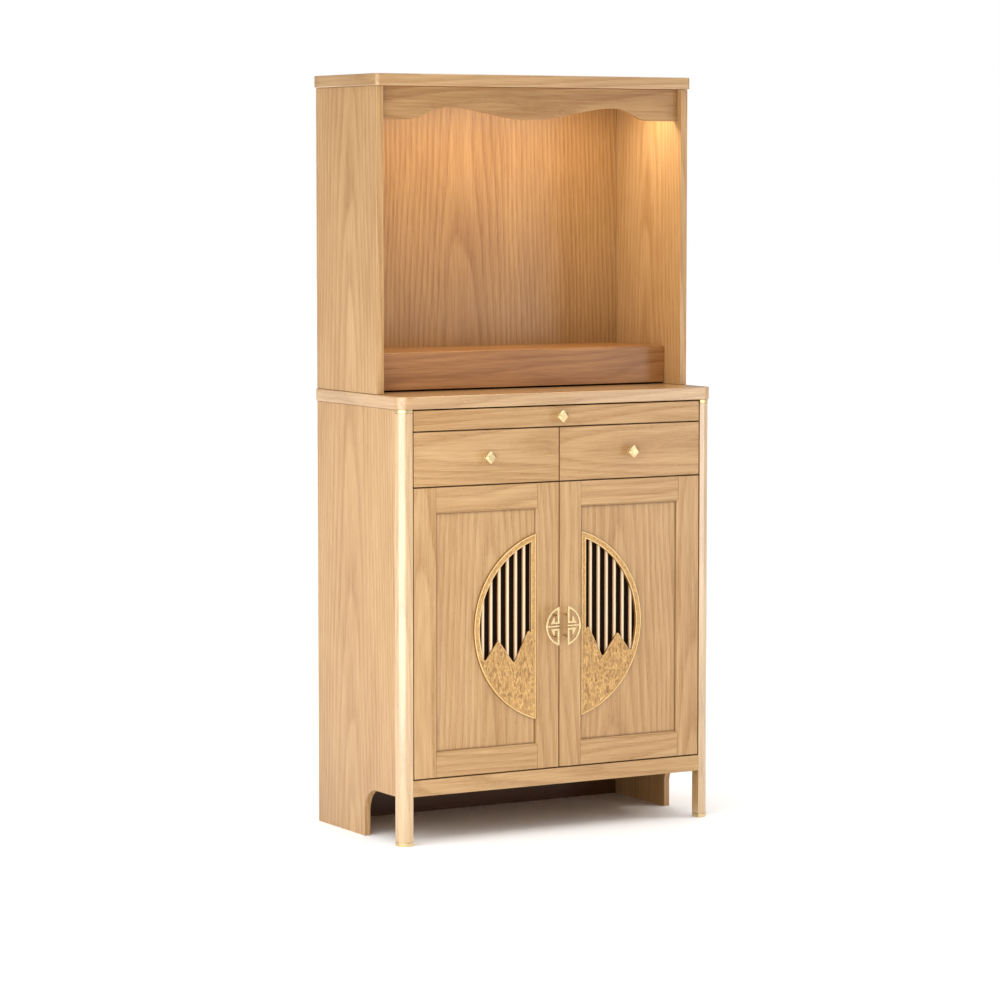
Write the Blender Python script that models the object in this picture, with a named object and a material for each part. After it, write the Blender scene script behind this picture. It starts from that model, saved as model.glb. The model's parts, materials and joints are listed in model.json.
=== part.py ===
"""A household altar cabinet: an open shrine on a cabinet with a pull-out tray, two drawers and two doors.

Metres, +Z up, the front faces -Y. The origin is on the floor, under the middle of the whole box.
"""
import math
import random

import bmesh
import bpy
from mathutils import Matrix, Vector

# Cabinet as a whole
WIDTH = 0.810
DEPTH = 0.400
FIT = 0.0003                  # seat between two pieces that touch
REVEAL = 0.003                # open joint round every door, drawer and tray front
EASE = 0.001                  # broken edge of every board

# Heights, from the floor up
RAIL_BOTTOM = 0.110
RAIL_HEIGHT = 0.036
DOOR_HEIGHT = 0.645
DRAWER_HEIGHT = 0.120
TRAY_HEIGHT = 0.045
ALTAR_TOP_THICK = 0.028
SHRINE_HEIGHT = 0.680
CAP_THICK = 0.027

# Posts and side panels
POST_WIDTH = 0.031
POST_DEPTH = 0.027
POST_ROUND = 0.022
FOOT_CAP_HEIGHT = 0.0085
COLLAR_HEIGHT = 0.008
SIDE_THICK = 0.015
ARCH_REACH = 0.146            # from the post's back to the rear leg
ARCH_ROUND = 0.055
BACK_THICK = 0.010

# Boards that show
ALTAR_OVERHANG = 0.003
ALTAR_CORNER = 0.025
CAP_SIDE_OVERHANG = 0.004
CAP_FRONT_OVERHANG = 0.008
CAP_CORNER = 0.010
SHRINE_SETBACK = 0.107
SHRINE_SIDE_THICK = 0.0174
VALANCE_SETBACK = 0.017       # behind the front edge of the shrine's sides
VALANCE_THICK = 0.015
VALANCE_DROP = 0.073
WAVE_RISE = 0.028
WAVE_CREST_X = 0.220
WAVE_END_X = 0.315
STEP_SETBACK = 0.176
STEP_HEIGHT = 0.088
STEP_THICK = 0.015
STEP_SHADOW_GAP = 0.004

# Fronts, drawers, tray and the boards behind them
FRONT_THICK = 0.020
FLOOR_THICK = 0.018
TRAY_SHELF_THICK = 0.012
DRAWER_SHELF_THICK = 0.020
DRAWER_SHELF_RISE = 0.012     # how far its top stands above the drawers' lower edge
DIVIDER_THICK = 0.012
RUN = 0.0005                  # sliding play under a drawer or the tray
SIDE_PLAY = 0.001             # sliding play beside a drawer or the tray
DRAWER_BACK_ROOM = 0.020      # behind a drawer that is pushed in
DRAWER_HEAD_ROOM = 0.013      # above a drawer's box
DRAWER_WALL = 0.012
DRAWER_BOTTOM = 0.009
TRAY_BACK_ROOM = 0.030        # behind the tray when it is pushed in
TRAY_BOARD_THICK = 0.015
TRAY_LIP = 0.006              # tray front above the board
TRAY_LEDGE = 0.028

# Doors
STILE_WIDTH = 0.0575
RAIL_WIDTH = 0.0575
SIGHT_BEVEL = 0.0025
SIGHT_BEVEL_DEPTH = 0.004
PANEL_RECESS = 0.007
PANEL_THICK = 0.007
PANEL_TONGUE = 0.007
PIVOT_INSET = 0.006           # door edge to pivot, sideways and backwards alike
PIVOT_RADIUS = 0.002
PIVOT_LENGTH = 0.010
PIVOT_PLAY = 0.0003
HINGE_LENGTH = 0.048
HINGE_BOTTOM_LENGTH = 0.0245
HINGE_WIDTH = 0.021
HINGE_SETBACK = 0.0015        # hinge plates behind the posts' front
HINGE_PLAY = 0.0009           # between a hinge plate and the door's edge
HOUSING_PLAY = 0.0015         # behind a top hinge plate, in the drawer shelf's housing

# Half-moon on each door: the two make one disc centred between the doors
MOON_HEIGHT = 0.322           # disc centre above the doors' lower edge
MOON_RADIUS = 0.218
MOON_RING = 0.014
MOON_BAR = 0.0125
MOON_PROUD = 0.0055           # carving in front of the panel
MOON_SEAT = 0.006             # how far the carving laps the panel round its opening
MOON_EDGE = 0.0018
LATTICE_RIM = 0.0065
LATTICE_THICK = 0.004
SLAT_COUNT = 6
SLAT_FIRST = 0.0153           # bar's inner edge to the first slat's middle
SLAT_PITCH = 0.0212
SLAT_WIDTH = 0.009
BACKING_THICK = 0.0024

# Mountains in the half-moon: across from the disc's centre line, up from its centre
PEAK_A = (0.078, -0.006)
VALLEY = (0.116, -0.080)
PEAK_B = (0.156, -0.025)
OUTER_VALLEY = (0.190, -0.071)
OUTER_RISE = (0.212, -0.045)
PEAK_SHOULDER = (0.066, -0.020)
PEAK_SOFTNESS = 0.005
CHISEL_DEPTH = 0.0011
CHISEL_SEED = 11
MOUNTAIN_SINK = 0.0012        # mountains behind the ring's face
MOUNTAIN_LOWEST = 0.0005      # height at which the mountains run out on the ring
MOUNTAIN_COLUMNS = 26
MOUNTAIN_ROWS = 16

# Brass knobs: a round base and neck, and a head that is a square on its corner
KNOB_REACH = 0.022
KNOB_CORNER = 0.0135          # middle to corner of the head
KNOB_PYRAMID = 0.0048         # the head's sloping front
KNOB_TIP = 0.003              # half the small flat at its tip
KNOB_EDGE = 0.0035            # the head's upright edge
KNOB_UNDERCUT = 0.003         # the head's sloping back
KNOB_SHOULDER = 0.0108        # middle to corner where that slope ends
KNOB_FLARE = 0.0018           # from the neck to the head
KNOB_NECK = 0.0055
KNOB_BASE = 0.008
KNOB_BASE_THICK = 0.002
KNOB_BASE_SLOPE = 0.001

# Split handle
HANDLE_REACH = 0.020
HANDLE_RADIUS = 0.0455
HANDLE_SPLIT = 0.01075        # centre line to each half's straight side
HANDLE_BAR = 0.0048
HANDLE_THICK = 0.004
HANDLE_EDGE = 0.0007
HANDLE_POST_RADIUS = 0.0021
HANDLE_POST_OFFSET = 0.024
HOOK_INNER = 0.0052
HOOK_TIP = 0.0205
HOOK_END = 0.034
HOOK_BARB = 0.023
HOOK_SLOPE = 0.003
MIDDLE_BAR = 0.004

# Steps in round shapes
CORNER_STEPS = 8
MOON_STEPS = 48
HANDLE_STEPS = 20
ROUND_SIDES = 16
WAVE_STEPS = 48
SMOOTH_ANGLE = math.radians(32)

# Places worked out from the sizes above
FRONT_Y = -(DEPTH - max(KNOB_REACH, HANDLE_REACH)) / 2
HALF = WIDTH / 2
INNER = HALF - SIDE_THICK
OPENING = HALF - POST_WIDTH
FRONT_OUTER = OPENING - REVEAL
FRONT_INNER = REVEAL / 2
RAIL_TOP = RAIL_BOTTOM + RAIL_HEIGHT
DOOR_Z = RAIL_TOP + REVEAL
DOOR_TOP = DOOR_Z + DOOR_HEIGHT
DRAWER_Z = DOOR_TOP + REVEAL
DRAWER_TOP = DRAWER_Z + DRAWER_HEIGHT
TRAY_Z = DRAWER_TOP + REVEAL
TRAY_TOP = TRAY_Z + TRAY_HEIGHT
ALTAR_Z = TRAY_TOP + REVEAL
ALTAR_TOP = ALTAR_Z + ALTAR_TOP_THICK
CAP_Z = ALTAR_TOP + SHRINE_HEIGHT
SHRINE_INNER = HALF - SHRINE_SIDE_THICK
BACK_FACE = DEPTH - BACK_THICK
DRAWER_SHELF_TOP = DRAWER_Z + DRAWER_SHELF_RISE
TRAY_SHELF_TOP = TRAY_Z - REVEAL / 2 + TRAY_SHELF_THICK / 2
TRAY_BOARD_TOP = TRAY_TOP - TRAY_LIP
TRAY_BOARD_Z = TRAY_BOARD_TOP - TRAY_BOARD_THICK
BOX_OUTER = FRONT_OUTER - RUN
GUIDE_FACE = BOX_OUTER + SIDE_PLAY
MOON_Z = DOOR_Z + MOON_HEIGHT
SIGHT_INNER = FRONT_INNER + STILE_WIDTH
SIGHT_OUTER = FRONT_OUTER - STILE_WIDTH
MOON_X = SIGHT_INNER + FIT
SIDES = {"left": -1, "right": 1}

SURFACES = {
    "oak": ((0.64, 0.42, 0.23), 0.5, 0.0),
    "oak_interior": ((0.50, 0.28, 0.13), 0.5, 0.0),
    "brass": ((0.80, 0.62, 0.30), 0.25, 1.0),
    "moon_gold": ((0.66, 0.42, 0.17), 0.45, 0.2),
    "slat_white": ((0.85, 0.76, 0.60), 0.5, 0.0),
    "backing_black": ((0.01, 0.01, 0.01), 0.8, 0.0),
}


def clear_scene():
    """Empties the file without closing it."""
    for obj in list(bpy.data.objects):
        bpy.data.objects.remove(obj, do_unlink=True)


def surface(name):
    """Principled material of one of the named surfaces, made once."""
    if name in bpy.data.materials:
        return bpy.data.materials[name]
    colour, roughness, metallic = SURFACES[name]
    mat = bpy.data.materials.new(name)
    mat.use_nodes = True
    shader = mat.node_tree.nodes["Principled BSDF"]
    shader.inputs["Base Color"].default_value = (*colour, 1.0)
    shader.inputs["Roughness"].default_value = roughness
    shader.inputs["Metallic"].default_value = metallic
    return mat


def make(name, bm, surface_name, merge=0.0):
    """Turns a bmesh in world coordinates into a named object with outward faces."""
    if merge:
        bmesh.ops.remove_doubles(bm, verts=bm.verts, dist=merge)
        bmesh.ops.dissolve_degenerate(bm, edges=bm.edges, dist=merge)
    bmesh.ops.recalc_face_normals(bm, faces=bm.faces)
    mesh = bpy.data.meshes.new(name)
    bm.to_mesh(mesh)
    bm.free()
    obj = bpy.data.objects.new(name, mesh)
    bpy.context.scene.collection.objects.link(obj)
    mesh.materials.append(surface(surface_name))
    finish_shading(obj)
    return obj


def finish_shading(obj):
    """Smooth faces with sharp edges kept sharp."""
    obj.data.shade_smooth()
    obj.data.set_sharp_from_angle(angle=SMOOTH_ANGLE)


def combine(obj, other, operation):
    """Joins the other object to this one, or cuts it away, and removes the other."""
    modifier = obj.modifiers.new("combine", "BOOLEAN")
    modifier.operation = operation
    modifier.solver = "EXACT"
    modifier.object = other
    bpy.context.view_layer.update()
    evaluated = obj.evaluated_get(bpy.context.evaluated_depsgraph_get())
    mesh = bpy.data.meshes.new_from_object(evaluated)
    obj.modifiers.clear()
    obj.data = mesh
    bpy.data.objects.remove(other, do_unlink=True)
    finish_shading(obj)
    return obj


def box_mesh(xs, ys, zs):
    """Bmesh of a plain box between the given limits, in depth from the cabinet's front."""
    bm = bmesh.new()
    bmesh.ops.create_cube(bm, size=1.0)
    size = Vector((xs[1] - xs[0], ys[1] - ys[0], zs[1] - zs[0]))
    middle = Vector((sum(xs) / 2, FRONT_Y + sum(ys) / 2, sum(zs) / 2))
    bm.transform(Matrix.Translation(middle) @ Matrix.Diagonal((*size, 1.0)))
    return bm


def board(name, xs, ys, zs, surface_name="oak", ease=EASE):
    """A rectangular board with every edge broken."""
    xs = sorted(xs)
    bm = box_mesh(xs, ys, zs)
    if ease:
        bmesh.ops.bevel(bm, geom=list(bm.edges), offset=ease, segments=1, affect="EDGES")
    return make(name, bm, surface_name)


def loft(loops, wrap=False):
    """Bmesh skin over equal loops of points, capped at both ends or wrapped round."""
    bm = bmesh.new()
    rings = [[bm.verts.new(point) for point in loop] for loop in loops]
    count = len(rings[0])
    pairs = list(zip(rings, rings[1:]))
    if wrap:
        pairs.append((rings[-1], rings[0]))
    for near, far in pairs:
        for index in range(count):
            after = (index + 1) % count
            bm.faces.new((near[index], near[after], far[after], far[index]))
    if not wrap:
        bm.faces.new(rings[0])
        bm.faces.new(rings[-1])
    return bm


def stacked(outline, levels, axis):
    """The same outline repeated at each level along X, Y (depth from the front) or Z."""
    if axis == "x":
        return [[(level, FRONT_Y + a, b) for a, b in outline] for level in levels]
    if axis == "y":
        return [[(a, FRONT_Y + level, b) for a, b in outline] for level in levels]
    return [[(a, FRONT_Y + b, level) for a, b in outline] for level in levels]


def prism(name, outline, levels, axis, surface_name="oak", ease=EASE):
    """An outline drawn straight along one axis, with the edges of both ends broken."""
    bm = loft(stacked(outline, levels, axis))
    if ease:
        bmesh.ops.recalc_face_normals(bm, faces=bm.faces)
        caps = sorted(bm.faces, key=lambda face: len(face.verts))[-2:]
        rims = list({edge for cap in caps for edge in cap.edges})
        bmesh.ops.bevel(bm, geom=rims, offset=ease, segments=1, affect="EDGES")
    return make(name, bm, surface_name)


def arc(centre, radius, start, end, steps):
    """Points of a round arc between two angles in degrees, ends included."""
    points = []
    for index in range(steps + 1):
        angle = math.radians(start + (end - start) * index / steps)
        points.append((centre[0] + radius * math.cos(angle), centre[1] + radius * math.sin(angle)))
    return points


def rod(name, centre, radius, levels, axis, surface_name="brass"):
    """A round rod along one axis."""
    outline = arc(centre, radius, 0, 360 - 360 / ROUND_SIDES, ROUND_SIDES - 1)
    return prism(name, outline, levels, axis, surface_name, ease=0)


def round_front_board(name, half_width, front, back, corner, zs):
    """A lying board whose two front corners are rounded."""
    outline = arc((-half_width + corner, front + corner), corner, 180, 270, CORNER_STEPS)
    outline += arc((half_width - corner, front + corner), corner, 270, 360, CORNER_STEPS)
    outline += [(half_width, back), (-half_width, back)]
    return prism(name, outline, zs, "z")


def shrine():
    """Cap board, sides, back and wavy valance of the open upper case."""
    front = SHRINE_SETBACK
    round_front_board("cap_board", HALF + CAP_SIDE_OVERHANG, front - CAP_FRONT_OVERHANG, DEPTH,
                      CAP_CORNER, (CAP_Z, CAP_Z + CAP_THICK))
    zs = (ALTAR_TOP + FIT, CAP_Z - FIT)
    for side, sign in SIDES.items():
        board(f"shrine_side_{side}", (sign * SHRINE_INNER, sign * HALF), (front, DEPTH), zs)
    inside = SHRINE_INNER - FIT
    board("shrine_back", (-inside, inside), (BACK_FACE, DEPTH), zs, "oak_interior")
    outline = [(inside, CAP_Z - FIT), (-inside, CAP_Z - FIT)]
    for index in range(WAVE_STEPS + 1):
        x = -inside + 2 * inside * index / WAVE_STEPS
        outline.append((x, CAP_Z - VALANCE_DROP + valance_wave(abs(x))))
    face = front + VALANCE_SETBACK
    prism("valance", outline, (face, face + VALANCE_THICK), "y")


def valance_wave(across):
    """Height of the valance's lower edge above its lowest line: one rounded swell on each side."""
    if across < WAVE_CREST_X:
        return WAVE_RISE * (1 - math.cos(math.pi * across / WAVE_CREST_X)) / 2
    if across < WAVE_END_X:
        share = (across - WAVE_CREST_X) / (WAVE_END_X - WAVE_CREST_X)
        return WAVE_RISE * (1 + math.cos(math.pi * share)) / 2
    return 0.0


def step():
    """The raised step at the back of the shrine: an upright front and a lying top behind it."""
    inside = SHRINE_INNER - FIT
    top = ALTAR_TOP + STEP_HEIGHT
    board("step_front", (-inside, inside), (STEP_SETBACK, STEP_SETBACK + STEP_THICK),
          (ALTAR_TOP + STEP_SHADOW_GAP, top))
    board("step_top", (-inside, inside), (STEP_SETBACK + STEP_THICK + FIT, BACK_FACE - FIT),
          (top - STEP_THICK, top))


def post_outline(sign):
    """Plan of a corner post: a quarter-round outer front corner."""
    centre = (HALF - POST_ROUND, POST_ROUND)
    points = [(OPENING, POST_DEPTH), (OPENING, 0.0)]
    points += arc(centre, POST_ROUND, 270, 360, CORNER_STEPS)
    points.append((HALF, POST_DEPTH))
    return [(sign * x, y) for x, y in points]


def posts():
    """Corner posts with a brass foot cap below and a brass collar under the altar top."""
    for side, sign in SIDES.items():
        outline = post_outline(sign)
        prism(f"foot_cap_{side}", outline, (0.0, FOOT_CAP_HEIGHT), "z", "brass", ease=0)
        levels = (FOOT_CAP_HEIGHT + FIT, ALTAR_Z - COLLAR_HEIGHT - FIT)
        prism(f"post_{side}", outline, levels, "z", ease=0)
        prism(f"collar_{side}", outline, (ALTAR_Z - COLLAR_HEIGHT, ALTAR_Z - FIT), "z", "brass", ease=0)


def case():
    """Altar top, side panels with their arch, back, floor and the rail under the doors."""
    round_front_board("altar_top", HALF + ALTAR_OVERHANG, -ALTAR_OVERHANG, DEPTH, ALTAR_CORNER,
                      (ALTAR_Z, ALTAR_TOP))
    near = POST_DEPTH + FIT
    leg = POST_DEPTH + ARCH_REACH
    top = ALTAR_Z - FIT
    outline = [(DEPTH, 0.0), (DEPTH, top), (near, top), (near, RAIL_BOTTOM)]
    outline += arc((leg - ARCH_ROUND, RAIL_BOTTOM - ARCH_ROUND), ARCH_ROUND, 90, 0, CORNER_STEPS)
    outline.append((leg, 0.0))
    for side, sign in SIDES.items():
        prism(f"side_panel_{side}", outline, sorted((sign * INNER, sign * HALF)), "x")
    inside = INNER - FIT
    board("cabinet_back", (-inside, inside), (BACK_FACE, DEPTH), (0.0, top), "oak_interior")
    board("cabinet_floor", (-inside, inside), (POST_DEPTH + FIT, BACK_FACE - FIT),
          (RAIL_TOP - FLOOR_THICK, RAIL_TOP), "oak_interior")
    board("bottom_rail", (FIT - OPENING, OPENING - FIT), (0.0, POST_DEPTH), (RAIL_BOTTOM, RAIL_TOP))


def shelf(name, zs):
    """A board behind the fronts, notched round the two posts, whose edge stops the fronts."""
    front = FRONT_THICK + FIT
    shoulder = POST_DEPTH + FIT
    narrow = OPENING - FIT
    wide = INNER - FIT
    back = BACK_FACE - FIT
    outline = [(-narrow, front), (narrow, front), (narrow, shoulder), (wide, shoulder)]
    outline += [(wide, back), (-wide, back), (-wide, shoulder), (-narrow, shoulder)]
    return prism(name, outline, zs, "z", "oak_interior", ease=0)


def inner_frame():
    """Shelves under the tray and under the drawers, the divider and the guides beside them."""
    shelf("tray_shelf", (TRAY_SHELF_TOP - TRAY_SHELF_THICK, TRAY_SHELF_TOP))
    lower = shelf("drawer_shelf", (DRAWER_SHELF_TOP - DRAWER_SHELF_THICK, DRAWER_SHELF_TOP))
    for side, sign in SIDES.items():
        housing = board("housing", (sign * (FRONT_OUTER - HINGE_WIDTH), sign * HALF),
                        (0.0, HINGE_SETBACK + HINGE_LENGTH + HOUSING_PLAY), (DOOR_Z, DRAWER_Z), ease=0)
        combine(lower, housing, "DIFFERENCE")
    drawer_zs = (DRAWER_SHELF_TOP + FIT, TRAY_SHELF_TOP - TRAY_SHELF_THICK - FIT)
    ys = (POST_DEPTH + FIT, BACK_FACE - FIT)
    board("drawer_divider", (-DIVIDER_THICK / 2, DIVIDER_THICK / 2), (FRONT_THICK + FIT, ys[1]),
          drawer_zs, "oak_interior")
    ledge_top = TRAY_BOARD_Z - RUN
    outline = [(INNER - FIT, TRAY_SHELF_TOP + FIT), (INNER - FIT, ALTAR_Z - FIT), (GUIDE_FACE, ALTAR_Z - FIT)]
    outline += [(GUIDE_FACE, ledge_top), (GUIDE_FACE - TRAY_LEDGE, ledge_top)]
    outline.append((GUIDE_FACE - TRAY_LEDGE, TRAY_SHELF_TOP + FIT))
    for side, sign in SIDES.items():
        xs = (sign * GUIDE_FACE, sign * (INNER - FIT))
        board(f"drawer_guide_{side}", xs, ys, drawer_zs, "oak_interior")
        prism(f"tray_guide_{side}", [(sign * x, z) for x, z in outline], ys, "y", "oak_interior", ease=0)


def diamond(radius, steps):
    """A square standing on its corner, as points at equal turns."""
    points = []
    for index in range(steps):
        angle = 2 * math.pi * index / steps
        reach = radius / (abs(math.cos(angle)) + abs(math.sin(angle)))
        points.append((reach * math.cos(angle), reach * math.sin(angle)))
    return points


def knob(name, x, z):
    """A brass knob: round base and neck, and a faceted diamond head with a low pyramid front."""
    edge_front = KNOB_REACH - KNOB_PYRAMID
    edge_back = edge_front - KNOB_EDGE
    head_back = edge_back - KNOB_UNDERCUT
    rounds = [(KNOB_BASE, FIT), (KNOB_BASE, KNOB_BASE_THICK), (KNOB_NECK, KNOB_BASE_THICK + KNOB_BASE_SLOPE),
              (KNOB_NECK, head_back - KNOB_FLARE)]
    loops = []
    for radius, out in rounds:
        circle = arc((x, z), radius, 0, 360 - 360 / ROUND_SIDES, ROUND_SIDES - 1)
        loops.append([(a, FRONT_Y - out, b) for a, b in circle])
    squares = [(KNOB_SHOULDER, head_back), (KNOB_CORNER, edge_back), (KNOB_CORNER, edge_front),
               (KNOB_TIP, KNOB_REACH)]
    for radius, out in squares:
        loops.append([(x + a, FRONT_Y - out, z + b) for a, b in diamond(radius, ROUND_SIDES)])
    return make(name, loft(loops), "brass")


def open_box(name, xs, ys, zs, wall, bottom):
    """A drawer box made in one: four walls and a floor, open above."""
    outer = [(xs[0], ys[0]), (xs[1], ys[0]), (xs[1], ys[1]), (xs[0], ys[1])]
    inner = [(xs[0] + wall, ys[0] + wall), (xs[1] - wall, ys[0] + wall)]
    inner += [(xs[1] - wall, ys[1] - wall), (xs[0] + wall, ys[1] - wall)]
    loops = stacked(outer, zs, "z") + stacked(inner, (zs[1], zs[0] + bottom), "z")
    return make(name, loft(loops), "oak_interior")


def tray():
    """The pull-out tray: front, board and knob."""
    front = board("tray_front", (-FRONT_OUTER, FRONT_OUTER), (0.0, FRONT_THICK), (TRAY_Z, TRAY_TOP))
    deck = board("tray_board", (-BOX_OUTER, BOX_OUTER), (FRONT_THICK + FIT, BACK_FACE - TRAY_BACK_ROOM),
                 (TRAY_BOARD_Z, TRAY_BOARD_TOP))
    pull = knob("tray_knob", 0.0, (TRAY_Z + TRAY_TOP) / 2)
    carry("tray_slide", (0.0, FRONT_Y, (TRAY_Z + TRAY_TOP) / 2), [front, deck, pull])


def drawer(side, sign):
    """One drawer: front, box and knob."""
    middle = sign * (FRONT_INNER + FRONT_OUTER) / 2
    z = (DRAWER_Z + DRAWER_TOP) / 2
    front = board(f"drawer_{side}_front", (sign * FRONT_INNER, sign * FRONT_OUTER), (0.0, FRONT_THICK),
                  (DRAWER_Z, DRAWER_TOP))
    zs = (DRAWER_SHELF_TOP + RUN, TRAY_SHELF_TOP - TRAY_SHELF_THICK - DRAWER_HEAD_ROOM)
    xs = sorted((sign * (DIVIDER_THICK / 2 + SIDE_PLAY), sign * BOX_OUTER))
    box = open_box(f"drawer_{side}_box", xs, (FRONT_THICK + FIT, BACK_FACE - DRAWER_BACK_ROOM), zs,
                   DRAWER_WALL, DRAWER_BOTTOM)
    pull = knob(f"drawer_{side}_knob", middle, z)
    carry(f"drawer_{side}_slide", (middle, FRONT_Y, z), [front, box, pull])


def frame_member(name, sign, outlines, groove):
    """A stile or rail of a door: a bevel down to the panel on its inner edge, and the panel's groove."""
    loops = []
    for outline, depth in outlines:
        loops.append([(sign * x, FRONT_Y + depth, z) for x, z in outline])
    member = make(name, loft(loops), "oak")
    cutter = board("groove", *groove, ease=0)
    return combine(member, cutter, "DIFFERENCE")


def stile_outline(flat, toward, lip):
    """Front view of a stile: its flat edge at x = flat, with a lip toward the panel between the rails."""
    edge = flat + toward * (STILE_WIDTH - SIGHT_BEVEL)
    low = DOOR_Z + RAIL_WIDTH - SIGHT_BEVEL
    high = DOOR_TOP - RAIL_WIDTH + SIGHT_BEVEL
    inner = edge + toward * lip
    return [(flat, DOOR_Z), (flat, DOOR_TOP), (edge, DOOR_TOP), (edge, high), (inner, high - lip),
            (inner, low + lip), (edge, low), (edge, DOOR_Z)]


def rail_outline(outer, toward, lip):
    """Front view of a rail between the stiles: its lip is mitred into the stiles' lips."""
    left = FRONT_INNER + STILE_WIDTH - SIGHT_BEVEL + FIT
    right = FRONT_OUTER - STILE_WIDTH + SIGHT_BEVEL - FIT
    edge = outer + toward * (RAIL_WIDTH - SIGHT_BEVEL - FIT)
    inner = edge + toward * lip
    return [(left, outer), (right, outer), (right, edge), (right - lip, inner), (left + lip, inner), (left, edge)]


def lipped(outline_of, *place):
    """Front views of one member at three depths: a bare edge in front, the full lip behind its bevel."""
    bare = outline_of(*place, FIT)
    full = outline_of(*place, SIGHT_BEVEL)
    return [(bare, 0.0), (full, SIGHT_BEVEL_DEPTH), (full, FRONT_THICK)]


def moon_loop(ring, bar):
    """Half-disc outline: the round edge moved in by ring and the straight side moved in by bar."""
    straight = MOON_X + bar
    radius = MOON_RADIUS - ring
    turn = math.degrees(math.acos(straight / radius))
    return arc((0.0, MOON_Z), radius, turn, -turn, MOON_STEPS)


def moon_plate(name, sign, inset, ys, surface_name):
    """A half-disc plate."""
    outline = [(sign * x, z) for x, z in moon_loop(*inset)]
    return prism(name, outline, ys, "y", surface_name, ease=0)


def mountain_line(x):
    """Height of the mountains' outline: straight slopes between the named points, softened."""
    points = [PEAK_SHOULDER, PEAK_A, VALLEY, PEAK_B, OUTER_VALLEY, OUTER_RISE]
    total = 0.0
    offsets = (-1.0, -0.5, 0.0, 0.5, 1.0)
    for offset in offsets:
        at = x + offset * PEAK_SOFTNESS
        for (x0, z0), (x1, z1) in zip(points, points[1:]):
            if at <= x1 or (x1, z1) == points[-1]:
                total += z0 + (z1 - z0) * (at - x0) / (x1 - x0)
                break
    return MOON_Z + total / len(offsets)


def mountains(name, sign):
    """Mountain plate: columns from the half-disc's round edge up to the outline, with chiselled facets."""
    chisel = random.Random(CHISEL_SEED)
    reach = MOON_RADIUS - MOON_RING / 2
    start = MOON_X + MOON_BAR / 2
    end = start
    while mountain_line(end) > MOON_Z - math.sqrt(max(reach ** 2 - end ** 2, 0.0)) and end < reach:
        end += MOUNTAIN_LOWEST
    end -= MOUNTAIN_LOWEST
    face = PANEL_RECESS - MOON_PROUD + MOUNTAIN_SINK
    bm = bmesh.new()
    grid = []
    for column in range(MOUNTAIN_COLUMNS + 1):
        x = start + (end - start) * column / MOUNTAIN_COLUMNS
        low = MOON_Z - math.sqrt(reach ** 2 - x ** 2)
        high = max(mountain_line(x), low + MOUNTAIN_LOWEST)
        line = []
        for row in range(MOUNTAIN_ROWS + 1):
            z = low + (high - low) * row / MOUNTAIN_ROWS
            inside = 0 < column < MOUNTAIN_COLUMNS and 0 < row < MOUNTAIN_ROWS
            depth = face + (chisel.uniform(-1.0, 1.0) * CHISEL_DEPTH if inside else 0.0)
            line.append(bm.verts.new((sign * x, FRONT_Y + depth, z)))
        grid.append(line)
    for near, far in zip(grid, grid[1:]):
        for row in range(MOUNTAIN_ROWS):
            bm.faces.new((near[row], far[row], far[row + 1], near[row + 1]))
    rim = grid[0] + [line[-1] for line in grid[1:-1]] + grid[-1][::-1] + [line[0] for line in grid[-2:0:-1]]
    back_y = FRONT_Y + PANEL_RECESS - FIT
    back = [bm.verts.new((vert.co.x, back_y, vert.co.z)) for vert in rim]
    for index, vert in enumerate(rim):
        after = (index + 1) % len(rim)
        bm.faces.new((vert, rim[after], back[after], back[index]))
    bm.faces.new(back)
    return make(name, bm, "moon_gold")


def moon_carving(name, sign):
    """The gilt half-moon in one piece: a ring with a straight bar, and mountains in its lower half."""
    front = PANEL_RECESS - MOON_PROUD
    back = PANEL_RECESS - FIT
    stations = [(0.0, back), (0.0, front + MOON_EDGE), (MOON_EDGE, front)]
    loops = []
    for inset, depth in stations:
        loops.append((moon_loop(inset, inset), depth))
    for inset, depth in reversed(stations):
        loops.append((moon_loop(MOON_RING - inset, MOON_BAR - inset), depth))
    rings = [[(sign * x, FRONT_Y + depth, z) for x, z in loop] for loop, depth in loops]
    ring = make(name, loft(rings, wrap=True), "moon_gold")
    return combine(ring, mountains("mountains", sign), "UNION")


def slot_outline(x0, x1, radius):
    """The gap between two slats: straight sides and round ends."""
    steps = 4
    xs = [x0 + (x1 - x0) * index / steps for index in range(steps + 1)]
    top = [(x, MOON_Z + math.sqrt(max(radius ** 2 - x ** 2, 0.0))) for x in xs]
    bottom = [(x, 2 * MOON_Z - z) for x, z in reversed(top) if z > MOON_Z]
    return top + bottom


def moon_lattice(name, sign, ys):
    """Upright slats in a half-disc rim that hides behind the carving."""
    rim_inset = MOON_SEAT + FIT
    plate = moon_plate(name, sign, (rim_inset, rim_inset), ys, "slat_white")
    radius = MOON_RADIUS - rim_inset - LATTICE_RIM
    edge = MOON_X + rim_inset + LATTICE_RIM
    for index in range(SLAT_COUNT + 1):
        middle = MOON_X + MOON_BAR + SLAT_FIRST + SLAT_PITCH * index
        left = edge if index == 0 else middle - SLAT_PITCH + SLAT_WIDTH / 2
        right = min(middle - SLAT_WIDTH / 2, radius)
        if index == SLAT_COUNT:
            right = radius
        if right <= left:
            continue
        outline = [(sign * x, z) for x, z in slot_outline(left, right, radius)]
        slot = prism("slot", outline, (ys[0] - EASE, ys[1] + EASE), "y", "slat_white", ease=0)
        combine(plate, slot, "DIFFERENCE")
    return plate


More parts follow.
